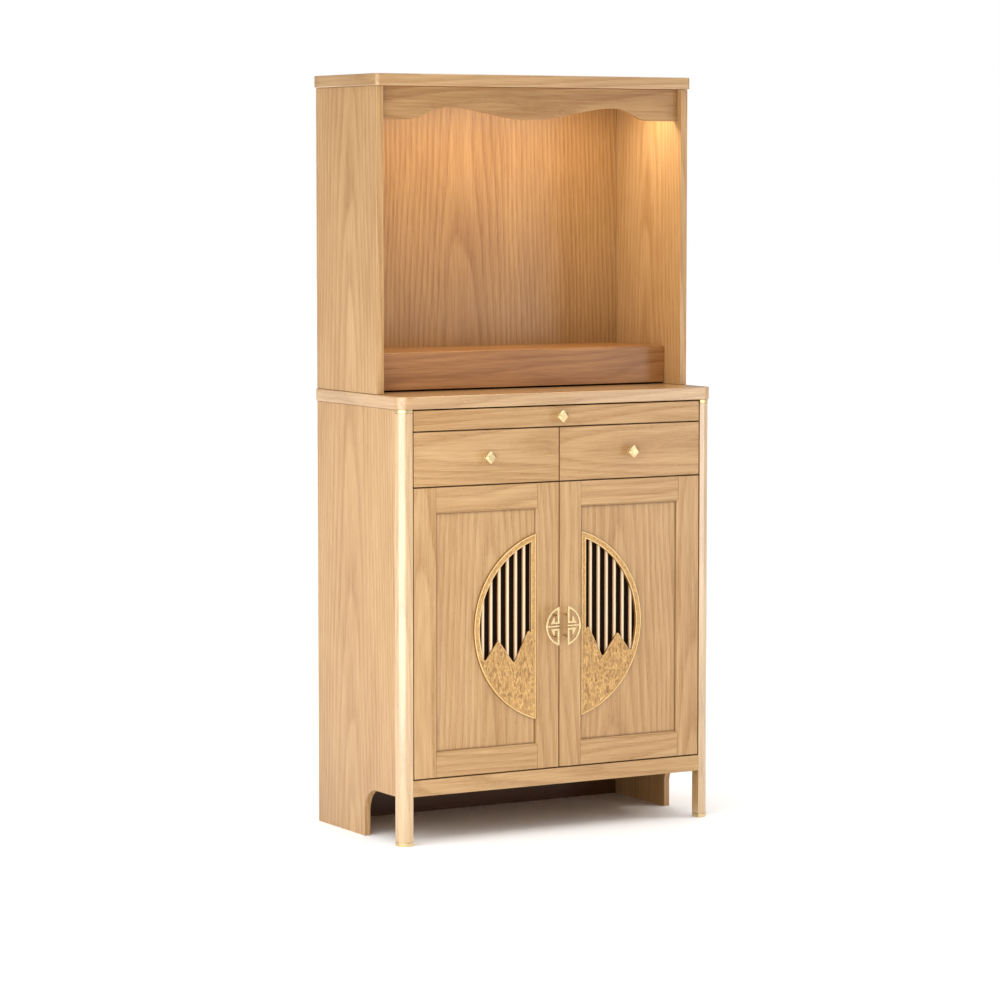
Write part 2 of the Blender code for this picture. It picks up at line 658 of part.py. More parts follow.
def handle_outline():
    """One half of the round handle, seen from the front, for the right-hand door."""
    inner = HANDLE_RADIUS - HANDLE_BAR
    side = HANDLE_SPLIT
    bar = side + HANDLE_BAR
    hook = HOOK_INNER + HANDLE_BAR

    def angle(across, radius):
        return math.degrees(math.acos(across / radius))

    middle = math.degrees(math.asin(MIDDLE_BAR / 2 / inner))
    upper = [(side, HOOK_INNER), (HOOK_END, HOOK_INNER), (HOOK_BARB + HOOK_SLOPE, HOOK_TIP),
             (HOOK_BARB, HOOK_TIP), (HOOK_BARB, hook), (bar, hook)]
    upper += arc((0.0, 0.0), inner, angle(bar, inner), middle, HANDLE_STEPS // 2)
    upper.append((side, MIDDLE_BAR / 2))
    lower = [(x, -z) for x, z in reversed(upper)]
    turn = angle(side, HANDLE_RADIUS)
    return upper + lower + arc((0.0, 0.0), HANDLE_RADIUS, -turn, turn, HANDLE_STEPS)


def handle(name, sign):
    """Half of the split brass handle on two short posts."""
    plate_back = -HANDLE_REACH + HANDLE_THICK
    outline = [(sign * x, MOON_Z + z) for x, z in handle_outline()]
    plate = prism(name, outline, (-HANDLE_REACH, plate_back), "y", "brass", ease=HANDLE_EDGE)
    for way in (-1, 1):
        centre = (sign * (HANDLE_SPLIT + HANDLE_BAR / 2), MOON_Z + way * HANDLE_POST_OFFSET)
        leg = rod("leg", centre, HANDLE_POST_RADIUS, (plate_back - HANDLE_THICK / 2, -FIT), "y")
        combine(plate, leg, "UNION")
    return plate


def door(side, sign):
    """One door: two stiles, two rails, panel, half-moon carving, lattice, backing and handle."""
    panel_x = (SIGHT_INNER - PANEL_TONGUE, SIGHT_OUTER + PANEL_TONGUE)
    panel_z = (DOOR_Z + RAIL_WIDTH - PANEL_TONGUE, DOOR_TOP - RAIL_WIDTH + PANEL_TONGUE)
    panel_y = (PANEL_RECESS, PANEL_RECESS + PANEL_THICK)
    groove = ((sign * (panel_x[0] - FIT), sign * (panel_x[1] + FIT)), (panel_y[0] - FIT, panel_y[1] + FIT),
              (panel_z[0] - FIT, panel_z[1] + FIT))
    name = f"door_{side}"
    outer = frame_member(f"{name}_outer_stile", sign, lipped(stile_outline, FRONT_OUTER, -1), groove)
    inner = frame_member(f"{name}_inner_stile", sign, lipped(stile_outline, FRONT_INNER, 1), groove)
    top = frame_member(f"{name}_top_rail", sign, lipped(rail_outline, DOOR_TOP, -1), groove)
    bottom = frame_member(f"{name}_bottom_rail", sign, lipped(rail_outline, DOOR_Z, 1), groove)
    pivot = (sign * (FRONT_OUTER - PIVOT_INSET), PIVOT_INSET)
    bore = PIVOT_LENGTH + HINGE_PLAY
    for low, high in ((DOOR_Z - REVEAL, DOOR_Z + bore), (DOOR_TOP - bore, DOOR_TOP + REVEAL)):
        combine(outer, rod("bore", pivot, PIVOT_RADIUS + PIVOT_PLAY, (low, high), "z"), "DIFFERENCE")
    panel = board(f"{name}_panel", (sign * panel_x[0], sign * panel_x[1]), panel_y, panel_z, ease=0)
    opening = moon_plate("opening", sign, (MOON_SEAT, MOON_SEAT), (0.0, FRONT_THICK), "oak")
    combine(panel, opening, "DIFFERENCE")
    carving = moon_carving(f"{name}_moon_carving", sign)
    lattice_back = PANEL_RECESS + LATTICE_THICK
    lattice = moon_lattice(f"{name}_moon_lattice", sign, (PANEL_RECESS, lattice_back))
    backing = moon_plate(f"{name}_moon_backing", sign, (MOON_SEAT + FIT, MOON_SEAT + FIT),
                         (lattice_back + FIT, lattice_back + FIT + BACKING_THICK), "backing_black")
    pull = handle(f"{name}_handle", sign)
    pieces = [outer, inner, top, bottom, panel, carving, lattice, backing, pull]
    carry(f"{name}_hinge", (pivot[0], FRONT_Y + pivot[1], DOOR_Z), pieces)


def hinge(side, sign, level):
    """A brass pivot plate in the joint above or below a door, with the pin that the door turns on."""
    pivot = (sign * (FRONT_OUTER - PIVOT_INSET), PIVOT_INSET)
    xs = (sign * (FRONT_OUTER - HINGE_WIDTH + RUN), sign * (OPENING - RUN))
    thick = REVEAL - FIT - HINGE_PLAY
    if level == "top":
        zs = (DRAWER_Z - FIT - thick, DRAWER_Z - FIT)
        pin = (DOOR_TOP - PIVOT_LENGTH, zs[0] + thick / 2)
        ys = (HINGE_SETBACK, HINGE_SETBACK + HINGE_LENGTH)
    else:
        zs = (RAIL_TOP + FIT, RAIL_TOP + FIT + thick)
        pin = (zs[1] - thick / 2, DOOR_Z + PIVOT_LENGTH)
        ys = (HINGE_SETBACK, HINGE_SETBACK + HINGE_BOTTOM_LENGTH)
    plate = board(f"hinge_{side}_{level}", xs, ys, zs, "brass", ease=0)
    combine(plate, rod("pin", pivot, PIVOT_RADIUS, pin, "z"), "UNION")


def carry(name, place, pieces):
    """Hangs pieces on an empty that stands on their joint, without moving them."""
    joint = bpy.data.objects.new(name, None)
    joint.location = place
    bpy.context.scene.collection.objects.link(joint)
    for piece in pieces:
        piece.data.transform(Matrix.Translation(-Vector(place)))
        piece.parent = joint


def main():
    """Builds the whole cabinet."""
    clear_scene()
    shrine()
    step()
    posts()
    case()
    inner_frame()
    tray()
    for side, sign in SIDES.items():
        drawer(side, sign)
        door(side, sign)
        for level in ("top", "bottom"):
            hinge(side, sign, level)
    bpy.context.view_layer.update()


main()
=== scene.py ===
"""The looks of a household altar cabinet: lacquered oak, a gilt half-moon carving on each door, and brass.

Metres, +Z up, the front faces -Y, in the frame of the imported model. Every new piece is a closed surface
worked out with numpy, stands for one solid of the frame and rides on that solid's body. A shell is a
pair: an array of points and a list of arrays of faces. Left-hand pieces are mirror images of right-hand
ones.
"""
import json
import math

import bpy
import numpy as np
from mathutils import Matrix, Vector

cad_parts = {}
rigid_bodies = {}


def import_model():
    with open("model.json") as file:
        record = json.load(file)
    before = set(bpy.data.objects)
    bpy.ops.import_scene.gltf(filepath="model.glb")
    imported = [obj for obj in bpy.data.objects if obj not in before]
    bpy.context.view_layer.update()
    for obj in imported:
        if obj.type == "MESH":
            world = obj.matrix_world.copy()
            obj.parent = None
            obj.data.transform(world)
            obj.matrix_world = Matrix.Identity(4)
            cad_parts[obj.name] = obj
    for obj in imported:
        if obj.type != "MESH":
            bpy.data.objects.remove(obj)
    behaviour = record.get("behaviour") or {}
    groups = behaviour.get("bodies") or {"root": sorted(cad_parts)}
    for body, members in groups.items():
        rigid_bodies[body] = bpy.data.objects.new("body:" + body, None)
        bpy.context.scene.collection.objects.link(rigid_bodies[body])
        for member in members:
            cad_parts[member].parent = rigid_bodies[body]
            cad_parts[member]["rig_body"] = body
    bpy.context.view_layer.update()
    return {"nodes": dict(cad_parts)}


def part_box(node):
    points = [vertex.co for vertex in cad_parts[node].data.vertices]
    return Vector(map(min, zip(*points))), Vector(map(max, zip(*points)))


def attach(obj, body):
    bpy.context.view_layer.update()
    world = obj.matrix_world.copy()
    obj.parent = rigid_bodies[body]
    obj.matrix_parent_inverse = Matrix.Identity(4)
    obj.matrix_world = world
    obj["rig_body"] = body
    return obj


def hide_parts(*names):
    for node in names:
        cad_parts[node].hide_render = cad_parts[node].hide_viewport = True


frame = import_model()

# Edges and fineness
EASE = 0.0012                   # broken edge of an oak board
SOFT_EASE = 0.0022              # the two lying top boards, rubbed rounder
BRASS_EASE = 0.0006
RIM_STEPS = 3
FILLET_STEPS = 3
SIDE_SHARE = 0.45               # the most of a side that the rounding of one corner takes
ARC_STEPS = 24
LAST_TURN = 345                 # degrees to the last of the 24 points of a full circle
SHARP_TURN = math.radians(20)   # a turn of an outline that counts as a corner
SMOOTH_ANGLE = math.radians(50)
FIT = 0.0003                    # seat between two pieces that touch

# Case
POST_ROUND = 0.022
ARCH_REACH = 0.146              # from the post's back to the rear leg
ARCH_ROUND = 0.055
CAP_CORNER = 0.010
ALTAR_CORNER = 0.025
VALANCE_DROP = 0.073
WAVE_RISE = 0.028
WAVE_CREST_X = 0.220
WAVE_END_X = 0.315
WAVE_STEPS = 140
DRAWER_WALL = 0.012
DRAWER_BOTTOM = 0.009

# Door frames
RAIL_WIDTH = 0.0575
SIGHT_BEVEL = 0.0025
SIGHT_BEVEL_DEPTH = 0.004
PIVOT_INSET = 0.006             # door edge to pivot, sideways and backwards alike
BORE_RADIUS = 0.0023
BORE_DEPTH = 0.0109

# Half-moon: its height is that of the disc's centre above the doors' lower edge
MOON_HEIGHT = 0.322
MOON_RADIUS = 0.218
MOON_RING = 0.014
MOON_BAR = 0.0125
MOON_SINK = 0.0015              # edges of the ring, behind its crown
MOON_ARC_STEPS = 420
MOON_BAR_STEPS = 280
BAND_STEPS = 26
BEAD_START = 0.72               # where the bead starts, from the band's middle to its edge
BEAD_WIDTH = 0.14
BAND_SINK = 0.0004
GOUGE_ACROSS = 0.0016           # one cut of the gouge in the rim's sunk strip
GOUGE_ALONG = 0.0042
GOUGE_DEPTH = 0.0009
GRID = 64                       # random heights each way before the noise of the cuts repeats
PEAK_SHOULDER = (0.066, -0.020)
PEAK_A = (0.078, -0.006)
VALLEY = (0.116, -0.080)
PEAK_B = (0.156, -0.025)
OUTER_VALLEY = (0.190, -0.071)
OUTER_RISE = (0.212, -0.045)
LINE_BEYOND = 3                 # the outline's first and last slopes go on for this many of their lengths
PEAK_SOFTNESS = 0.0035
SOFT_STEPS = 9
MOUNTAIN_SINK = 0.0012          # mountains behind the ring's face
MOUNTAIN_LOWEST = 0.0005
MOUNTAIN_LEAST = 0.0002
MOUNTAIN_SEAM = 0.45            # share of the rim's width that stays a rim beside the mountains
SEAM_WIDTH = 0.08               # share of the width over which the rim drops to where it is cut back
SEAM_SINK = 0.0028              # how deep it is cut back, and over what height that sets in
FINE_STEPS = 4000               # steps in which the mountains' last column is looked for
MOUNTAIN_COLUMNS = 220
MOUNTAIN_ROWS = 130
ROW_CROWDING = 1.7              # rows crowd towards the crest
FAN_RISE = 0.030                # strokes fan out from this far above a peak
FAN_REACH = 0.080               # distance from there at which a stroke has its named width
CHISEL_DEPTH = 0.0016
CHISEL_ACROSS = 0.0026
CHISEL_ALONG = 0.0120
CHISEL_SIZES = ((1.0, 0.6), (0.45, 0.4))        # wide and narrow chisel: size and share of the cuts
CHISEL_SWING = 1.2
CELL_SHIFT = 200                # keeps the noise's cells above nothing
FLECK_ACROSS = 0.0012           # specks where the gilding is worn, drawn coarse enough to show
FLECK_ALONG = 0.0046
GILT = ("#EFD094", "#E0B26C", "#6E4414")    # burnished edge, face, cut
CREST_WIDTH = 0.0024
CREST_PROUD = 0.0010
CREST_ROUND = 0.0012
CREST_FALL = 0.0015
MOON_SEAT = 0.006
LATTICE_RIM = 0.0065
SLAT_COUNT = 6
SLAT_FIRST = 0.0153             # bar's inner edge to the first slat's middle
SLAT_PITCH = 0.0212
SLAT_WIDTH = 0.009
SLAT_CROWN = 0.0032             # a slat's middle in front of its edges
SLAT_STEPS = 12

# Brass knobs
KNOB_CORNER = 0.0142
KNOB_PYRAMID = 0.0036
KNOB_TIP = 0.0088
KNOB_EDGE = 0.0035
KNOB_UNDERCUT = 0.003
KNOB_SHOULDER = 0.0116
KNOB_FLARE = 0.0018
KNOB_NECK = 0.0055
KNOB_BASE = 0.008
KNOB_BASE_THICK = 0.002
KNOB_BASE_SLOPE = 0.001
KNOB_POWER = 1.28
KNOB_BEVEL = 0.00035

# Split brass handle, seen from the disc's centre
HANDLE_RADIUS = 0.0455
HANDLE_SPLIT = 0.01075
HANDLE_BAR = 0.0048
HANDLE_THICK = 0.004
HANDLE_EDGE = 0.0010
HANDLE_FILLET = 0.0005
HANDLE_POST_RADIUS = 0.0021
HANDLE_POST_OFFSET = 0.024
HOOK_INNER = 0.0052
HOOK_TIP = 0.0205
HOOK_END = 0.034
HOOK_BARB = 0.023
HOOK_SLOPE = 0.003
MIDDLE_BAR = 0.004

# Camera, fitted to the photograph's straight edges; its image is square
CAMERA_PLACE = (-4.231, -7.317, 1.480)
CAMERA_YAW = math.radians(29.77)
CAMERA_DROP = math.radians(5.01)
FOCAL_PIXELS = 3707.0
IMAGE_PIXELS = 1000.0
SENSOR = 36.0
FLOOR_REACH = 40.0
ROOM_LOW, ROOM_HIGH = 0.25, 1.75    # light from the room's walls and from its ceiling
WALLS_END, CEILING_START = 0.45, 0.75       # heights of a direction where the one ends and the other starts
FLOOR_WHITE = "#F8F8F8"

X, Y, Z = 0, 1, 2
SIDES = {"left": -1, "right": 1}
MIX_A, MIX_B, MIX_RESULT = 6, 7, 2      # the colour sockets of a Mix node
MIX_VECTOR_A, MIX_VECTOR_B, MIX_VECTOR_RESULT = 4, 5, 1     # and its vector sockets
chance = np.random.default_rng(5)


# Shells and what they are made of

def outward(points, faces):
    """Turns all faces round if the volume they enclose, the sum of a . (b x c) / 6, is below nothing."""
    volume = 0.0
    for polygons in faces:
        first, near, far = points[polygons[:, :1]], points[polygons[:, 1:-1]], points[polygons[:, 2:]]
        volume += (first * np.cross(near, far)).sum()
    if volume < 0:
        faces = [polygons[:, ::-1] for polygons in faces]
    return points, faces


def skin(rings, wrap=False):
    """Shell over K rings of N points: a quad between neighbours, and a flat face over each end or a last
    row of quads back to the first ring."""
    count, around = rings.shape[:2]
    index = np.arange(count * around).reshape(count, around)
    far = np.roll(index, -1, axis=0) if wrap else index[1:]
    near = index if wrap else index[:-1]
    quads = np.stack([near, np.roll(near, -1, axis=1), np.roll(far, -1, axis=1), far], axis=-1)
    faces = [quads.reshape(-1, 4)]
    if not wrap:
        faces.append(np.stack([index[0][::-1], index[-1]]))
    return outward(rings.reshape(-1, 3), faces)


def unit(vectors):
    """The same directions with length one."""
    return vectors / np.linalg.norm(vectors, axis=-1, keepdims=True)


def arc(centre, radius, start, end, steps=ARC_STEPS):
    """Points centre + radius (cos t, sin t), t going from start to end in degrees, both included."""
    turn = np.radians(np.linspace(start, end, steps + 1))
    return np.array(centre) + radius * np.stack([np.cos(turn), np.sin(turn)], axis=1)


def rounded(outline, radius):
    """Rounds an outline's corners: each becomes the curve (1-s)^2 a + 2 s (1-s) p + s^2 b, where p is the
    corner and a and b lie on its two sides as far away as a circle of that radius would touch them,
    at most 45% of a side."""
    outline = np.asarray(outline, float)
    back = np.roll(outline, 1, axis=0) - outline
    ahead = np.roll(outline, -1, axis=0) - outline
    shortest = np.minimum(np.linalg.norm(back, axis=1), np.linalg.norm(ahead, axis=1))
    back, ahead = unit(back), unit(ahead)
    turn = math.pi - np.arccos(np.clip((back * ahead).sum(axis=1), -1.0, 1.0))
    reach = np.minimum(radius * np.tan(turn / 2), SIDE_SHARE * shortest)[:, None, None]
    s = np.linspace(0.0, 1.0, FILLET_STEPS + 1)[None, :, None]
    corner = outline[:, None, :]
    curve = corner + reach * ((1 - s) ** 2 * back[:, None, :] + s ** 2 * ahead[:, None, :])
    keep = (turn > SHARP_TURN)[:, None] | (np.arange(FILLET_STEPS + 1) == 0)[None, :]
    curve = np.where((turn > SHARP_TURN)[:, None, None], curve, corner)
    return curve[keep]


def inset(outline, distance):
    """Moves an outline inwards: a corner goes by distance (m + n) / (1 + m . n), m and n being its two
    sides' inward normals."""
    ahead = np.roll(outline, -1, axis=0)
    turning = np.sign((outline[:, 0] * ahead[:, 1] - outline[:, 1] * ahead[:, 0]).sum())
    ahead = unit(ahead - outline)
    n = turning * np.stack([-ahead[:, 1], ahead[:, 0]], axis=1)
    m = np.roll(n, 1, axis=0)
    return outline + distance * (m + n) / (1 + (m * n).sum(axis=1, keepdims=True))


def rim(low, high, ease):
    """Levels and insets of a slab's rings: at each end a quarter circle, ease (1 - cos t) in along the
    axis and ease (1 - sin t) in from the outline, t going from 0 to 90 degrees."""
    t = np.linspace(0.0, math.pi / 2, RIM_STEPS + 1)
    rise, narrow = ease * (1 - np.cos(t)), ease * (1 - np.sin(t))
    return np.concatenate([low + rise, (high - rise)[::-1]]), np.concatenate([narrow, narrow[::-1]])


def slab(outline, low, high, axis, ease, corner=None):
    """Shell of an outline carried straight along one axis. Both rims are rounded, and so are the
    outline's corners, by a radius that shrinks as the rim goes in."""
    corner = corner or ease
    rings = [rounded(inset(outline, narrow), max(corner - narrow, corner / 10))
             for narrow in rim(low, high, ease)[1]]
    levels = rim(low, high, ease)[0]
    return skin(np.array([np.insert(ring, axis, level, axis=1) for ring, level in zip(rings, levels)]))


def rectangle(low, high):
    """The four corners of a rectangle, counter-clockwise."""
    return np.array([(low[0], low[1]), (high[0], low[1]), (high[0], high[1]), (low[0], high[1])])


def board(low, high, ease=EASE):
    """Shell of a board between two corners with every edge rounded."""
    axis = int(np.argmin(high - low))
    flat = [k for k in range(3) if k != axis]
    return slab(rectangle(low[flat], high[flat]), low[axis], high[axis], axis, ease)


def mirrored(shell):
    """The same shell on the other side of X = 0, still facing outwards."""
    points, faces = shell
    return points * (-1, 1, 1), [polygons[:, ::-1] for polygons in faces]


def handed(shell, sign):
    """A right-hand shell for the right side, its mirror image for the left."""
    return shell if sign > 0 else mirrored(shell)


def mesh_of(name, shell):
    """A mesh from a shell, smooth where its faces meet gently."""
    points, faces = shell
    mesh = bpy.data.meshes.new(name)
    mesh.from_pydata(points.tolist(), [], [polygon for polygons in faces for polygon in polygons.tolist()])
    mesh.shade_smooth()
    mesh.set_sharp_from_angle(angle=SMOOTH_ANGLE)
    return mesh


def combined(name, operation, shells):
    """One closed mesh from several shells: a union of them all, or the first less the rest."""
    objects = []
    for number, shell in enumerate(shells):
        obj = bpy.data.objects.new(f"{name}_{number}", mesh_of(name, shell))
        bpy.context.scene.collection.objects.link(obj)
        objects.append(obj)
    first = objects[0]
    for other in objects[1:]:
        step = first.modifiers.new("combine", "BOOLEAN")
        step.operation = operation
        step.solver = "MANIFOLD"
        step.object = other
    bpy.context.view_layer.update()
    mesh = bpy.data.meshes.new_from_object(first.evaluated_get(bpy.context.evaluated_depsgraph_get()))
    for obj in objects:
        bpy.data.objects.remove(obj, do_unlink=True)
    mesh.shade_smooth()
    mesh.set_sharp_from_angle(angle=SMOOTH_ANGLE)
    return mesh


def stand_in(node, mesh, material, bevel=0.0):
    """A finished piece that takes the place of one solid and moves with its body."""
    obj = bpy.data.objects.new(f"{node}_finished", mesh)
    bpy.context.scene.collection.objects.link(obj)
    mesh.materials.clear()
    mesh.materials.append(material)
    if bevel:
        edge = obj.modifiers.new("edge", "BEVEL")
        edge.width = bevel
        edge.segments = 2
        edge.limit_method = "ANGLE"
        edge.angle_limit = SHARP_TURN
    weighted = obj.modifiers.new("normals", "WEIGHTED_NORMAL")
    weighted.keep_sharp = True
    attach(obj, frame["nodes"][node]["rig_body"])
    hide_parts(node)


def corners(node):
    """A solid's lowest and highest corner as arrays."""
    low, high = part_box(node)
    return np.array(low), np.array(high)


# Materials

def hex_colour(code):
    """Linear colour of an sRGB hex value: ((c + 0.055) / 1.055) ^ 2.4, or c / 12.92 where c is small."""
    parts = np.array([int(code[start:start + 2], 16) for start in (1, 3, 5)]) / 255
    linear = np.where(parts > 0.04045, ((parts + 0.055) / 1.055) ** 2.4, parts / 12.92)
    return (*linear.tolist(), 1.0)


def add(tree, kind, inputs=None, **settings):
    """Adds a node: settings are its properties, inputs are its sockets' values or the outputs linked to
    them."""
    node = tree.nodes.new(kind)
    for key, value in settings.items():
        setattr(node, key, value)
    for key, value in (inputs or {}).items():
        if isinstance(value, bpy.types.NodeSocket):
            tree.links.new(value, node.inputs[key])
        else:
            node.inputs[key].default_value = value
    return node


def new_material(name, **plain):
    """A material with an empty shader: its name, tree, shader and the object's own coordinates. Plain
    values go straight on the shader's sockets."""
    material = bpy.data.materials.new(name)
    material.use_nodes = True
    tree = material.node_tree
    tree.nodes.clear()
    sockets = {key.replace("_", " "): value for key, value in plain.items()}
    shader = add(tree, "ShaderNodeBsdfPrincipled", sockets)
    add(tree, "ShaderNodeOutputMaterial", {"Surface": shader.outputs["BSDF"]})
    place = add(tree, "ShaderNodeTexCoord").outputs["Object"]
    return material, tree, shader, place


# Oak, sawn, sanded and sprayed with satin lacquer: pale streaks along the grain, growth rings that close
# into arches where the saw met them flat, short open pores, and a soft sheen
RING_SPACING = 0.0105           # growth rings as a flat-sawn face shows them
RING_TAPER = 0.030              # how fast the rings run out along the board
EARLY_START, EARLY_END = 0.88, 0.6      # shares of a ring where its dark early wood sets in and has faded
PORE_EDGE, PORE_DEEP = 0.60, 0.72       # heights of the noise at a pore's edge and where it is deep
SWAY = 0.026
SWAY_CELL = (0.110, 0.520, 1.0)     # metres across the grain, metres along it, and detail, as in all cells
STREAK_CELL = (0.0050, 0.170, 3.0)  # real fibres are finer; drawn coarse enough to show from eight metres
FIBRE_CELL = (0.0019, 0.055, 2.0)
PATCH_CELL = (0.080, 0.340, 1.0)
PORE_CELL = (0.00055, 0.011, 0.0)   # open pores, half a millimetre wide and about a centimetre long
RING_WEIGHT, STREAK_WEIGHT, FIBRE_WEIGHT, PATCH_WEIGHT = 0.85, 2.6, 2.6, 1.6
BOARD_SPREAD = 0.22             # boards from one lot differ a little, up to this much in shade
SHADE_LOW, SHADE_HIGH = 2.6, 4.9    # sum of the weighted parts that gives the pale and the dark tone
PORE_BUMP = 0.00009
PORE_BUMP_SHARE = 0.6
PORE_DARKNESS = 0.5
OAK_ROUGHNESS, OAK_UNEVEN = 0.36, 0.12
HEART_DISTANCE = 0.070          # a board's middle from its log's heart
HEART_SPREAD = (-0.02, 0.03)
HEART_ASIDE = 0.05
LOG_LENGTH = 5.0
TURNS = {X: (0.0, math.pi / 2, 0.0), Y: (math.pi / 2, 0.0, 0.0), Z: (0.0, 0.0, 0.0)}
TURNED = {X: (Z, Y), Y: (X, Z), Z: (X, Y)}      # the two axes that end up across the grain
OAK = ("#BF9A6A", "#A07645")
# the valance's oak, darker as painted shade under the cap's overhang
VALANCE_SHADED_OAK = ("#B58E5C", "#94683A")
# the step's oak, darker as painted shade low in the shrine
STEP_SHADED_OAK = ("#B07D48", "#8B5828")
# the posts' oak, paler than the rest: painted highlight added to their lacquer's real reflection
POST_HIGHLIGHT_OAK = ("#CBA873", "#B28B55")
INSIDE_OAK = ("#AE8654", "#8A5F32")
OAK_PORE = "#7A5028"
# colour of the painted shade along a door's frame and under the cabinet's floor
OAK_PAINTED_SHADE = "#54300F"
EDGE_BAND = 0.0015              # veneer glued on a top board's ends, with its grain along the edge
PAINTED_SHADOW_LINE = 0.0050             # width of the painted shadow along the foot of a door's frame
# how dark the painted shadow is right at the frame
PAINTED_SHADOW_DARKNESS = 0.7
PAINTED_SHADE_FADE = 0.004              # height over which the painted shade on the back sets in
FACE_MARGIN = 0.002
SATIN_COAT = {"Coat_Weight": 0.25, "Coat_Roughness": 0.22}
POLISHED_COAT = {"Coat_Weight": 1.0, "Coat_Roughness": 0.20}    # thicker lacquer, rubbed up
POLISHED_IOR = {"post_left": 2.2, "post_right": 2.2, "cap_board": 1.6, "altar_top": 1.7}


def painted_shade_part(tree, node, place):
    """How dark the painted shade lies on a board. On a door's panel it is painted shadow along the foot of
    the frame: darkest at the edge of what shows of it and nothing a line's width further in. On the back's
    inner face it is painted shade over what hangs below the cabinet's floor. Other boards have none."""
    # painted shadow of the frame on the panel's border
    if node.endswith("_panel") and node.startswith("door"):
        side = node.split("_")[1]
        stiles = [corners(f"door_{side}_{part}_stile") for part in ("outer", "inner")]
        left, right = sorted(stiles, key=lambda box: box[0][X])
        low = Vector((left[1][X], 0.0, corners(f"door_{side}_bottom_rail")[1][Z]))
        high = Vector((right[0][X], 0.0, corners(f"door_{side}_top_rail")[0][Z]))
        off = add(tree, "ShaderNodeVectorMath", {0: place, 1: (low + high) / 2},
                  operation="SUBTRACT").outputs[0]
        off = add(tree, "ShaderNodeVectorMath", {0: off}, operation="ABSOLUTE").outputs[0]
        rest = add(tree, "ShaderNodeVectorMath", {0: (high - low) / 2, 1: off},
                   operation="SUBTRACT").outputs[0]
        rest = add(tree, "ShaderNodeSeparateXYZ", {0: rest}).outputs
        near = add(tree, "ShaderNodeMath", {0: rest["X"], 1: rest["Z"]}, operation="MINIMUM").outputs[0]
        return add(tree, "ShaderNodeMapRange",
                   {0: near, 1: 0.0, 2: PAINTED_SHADOW_LINE, 3: PAINTED_SHADOW_DARKNESS, 4: 0.0}).outputs[0]
    # painted shade: the back's inner face darkened below the cabinet's floor, where shadow falls
    if node == "cabinet_back":
        depth = add(tree, "ShaderNodeSeparateXYZ", {0: place}).outputs
        floor = corners("cabinet_floor")[0][Z]
        below = add(tree, "ShaderNodeMapRange", {0: depth["Z"], 1: floor, 2: floor - PAINTED_SHADE_FADE}).outputs[0]
        low, high = corners(node)
        inner = add(tree, "ShaderNodeMapRange",
                    {0: depth["Y"], 1: high[Y] - FACE_MARGIN, 2: low[Y] + FACE_MARGIN}).outputs[0]
        return add(tree, "ShaderNodeMath", {0: below, 1: inner}, operation="MULTIPLY").outputs[0]
    return None


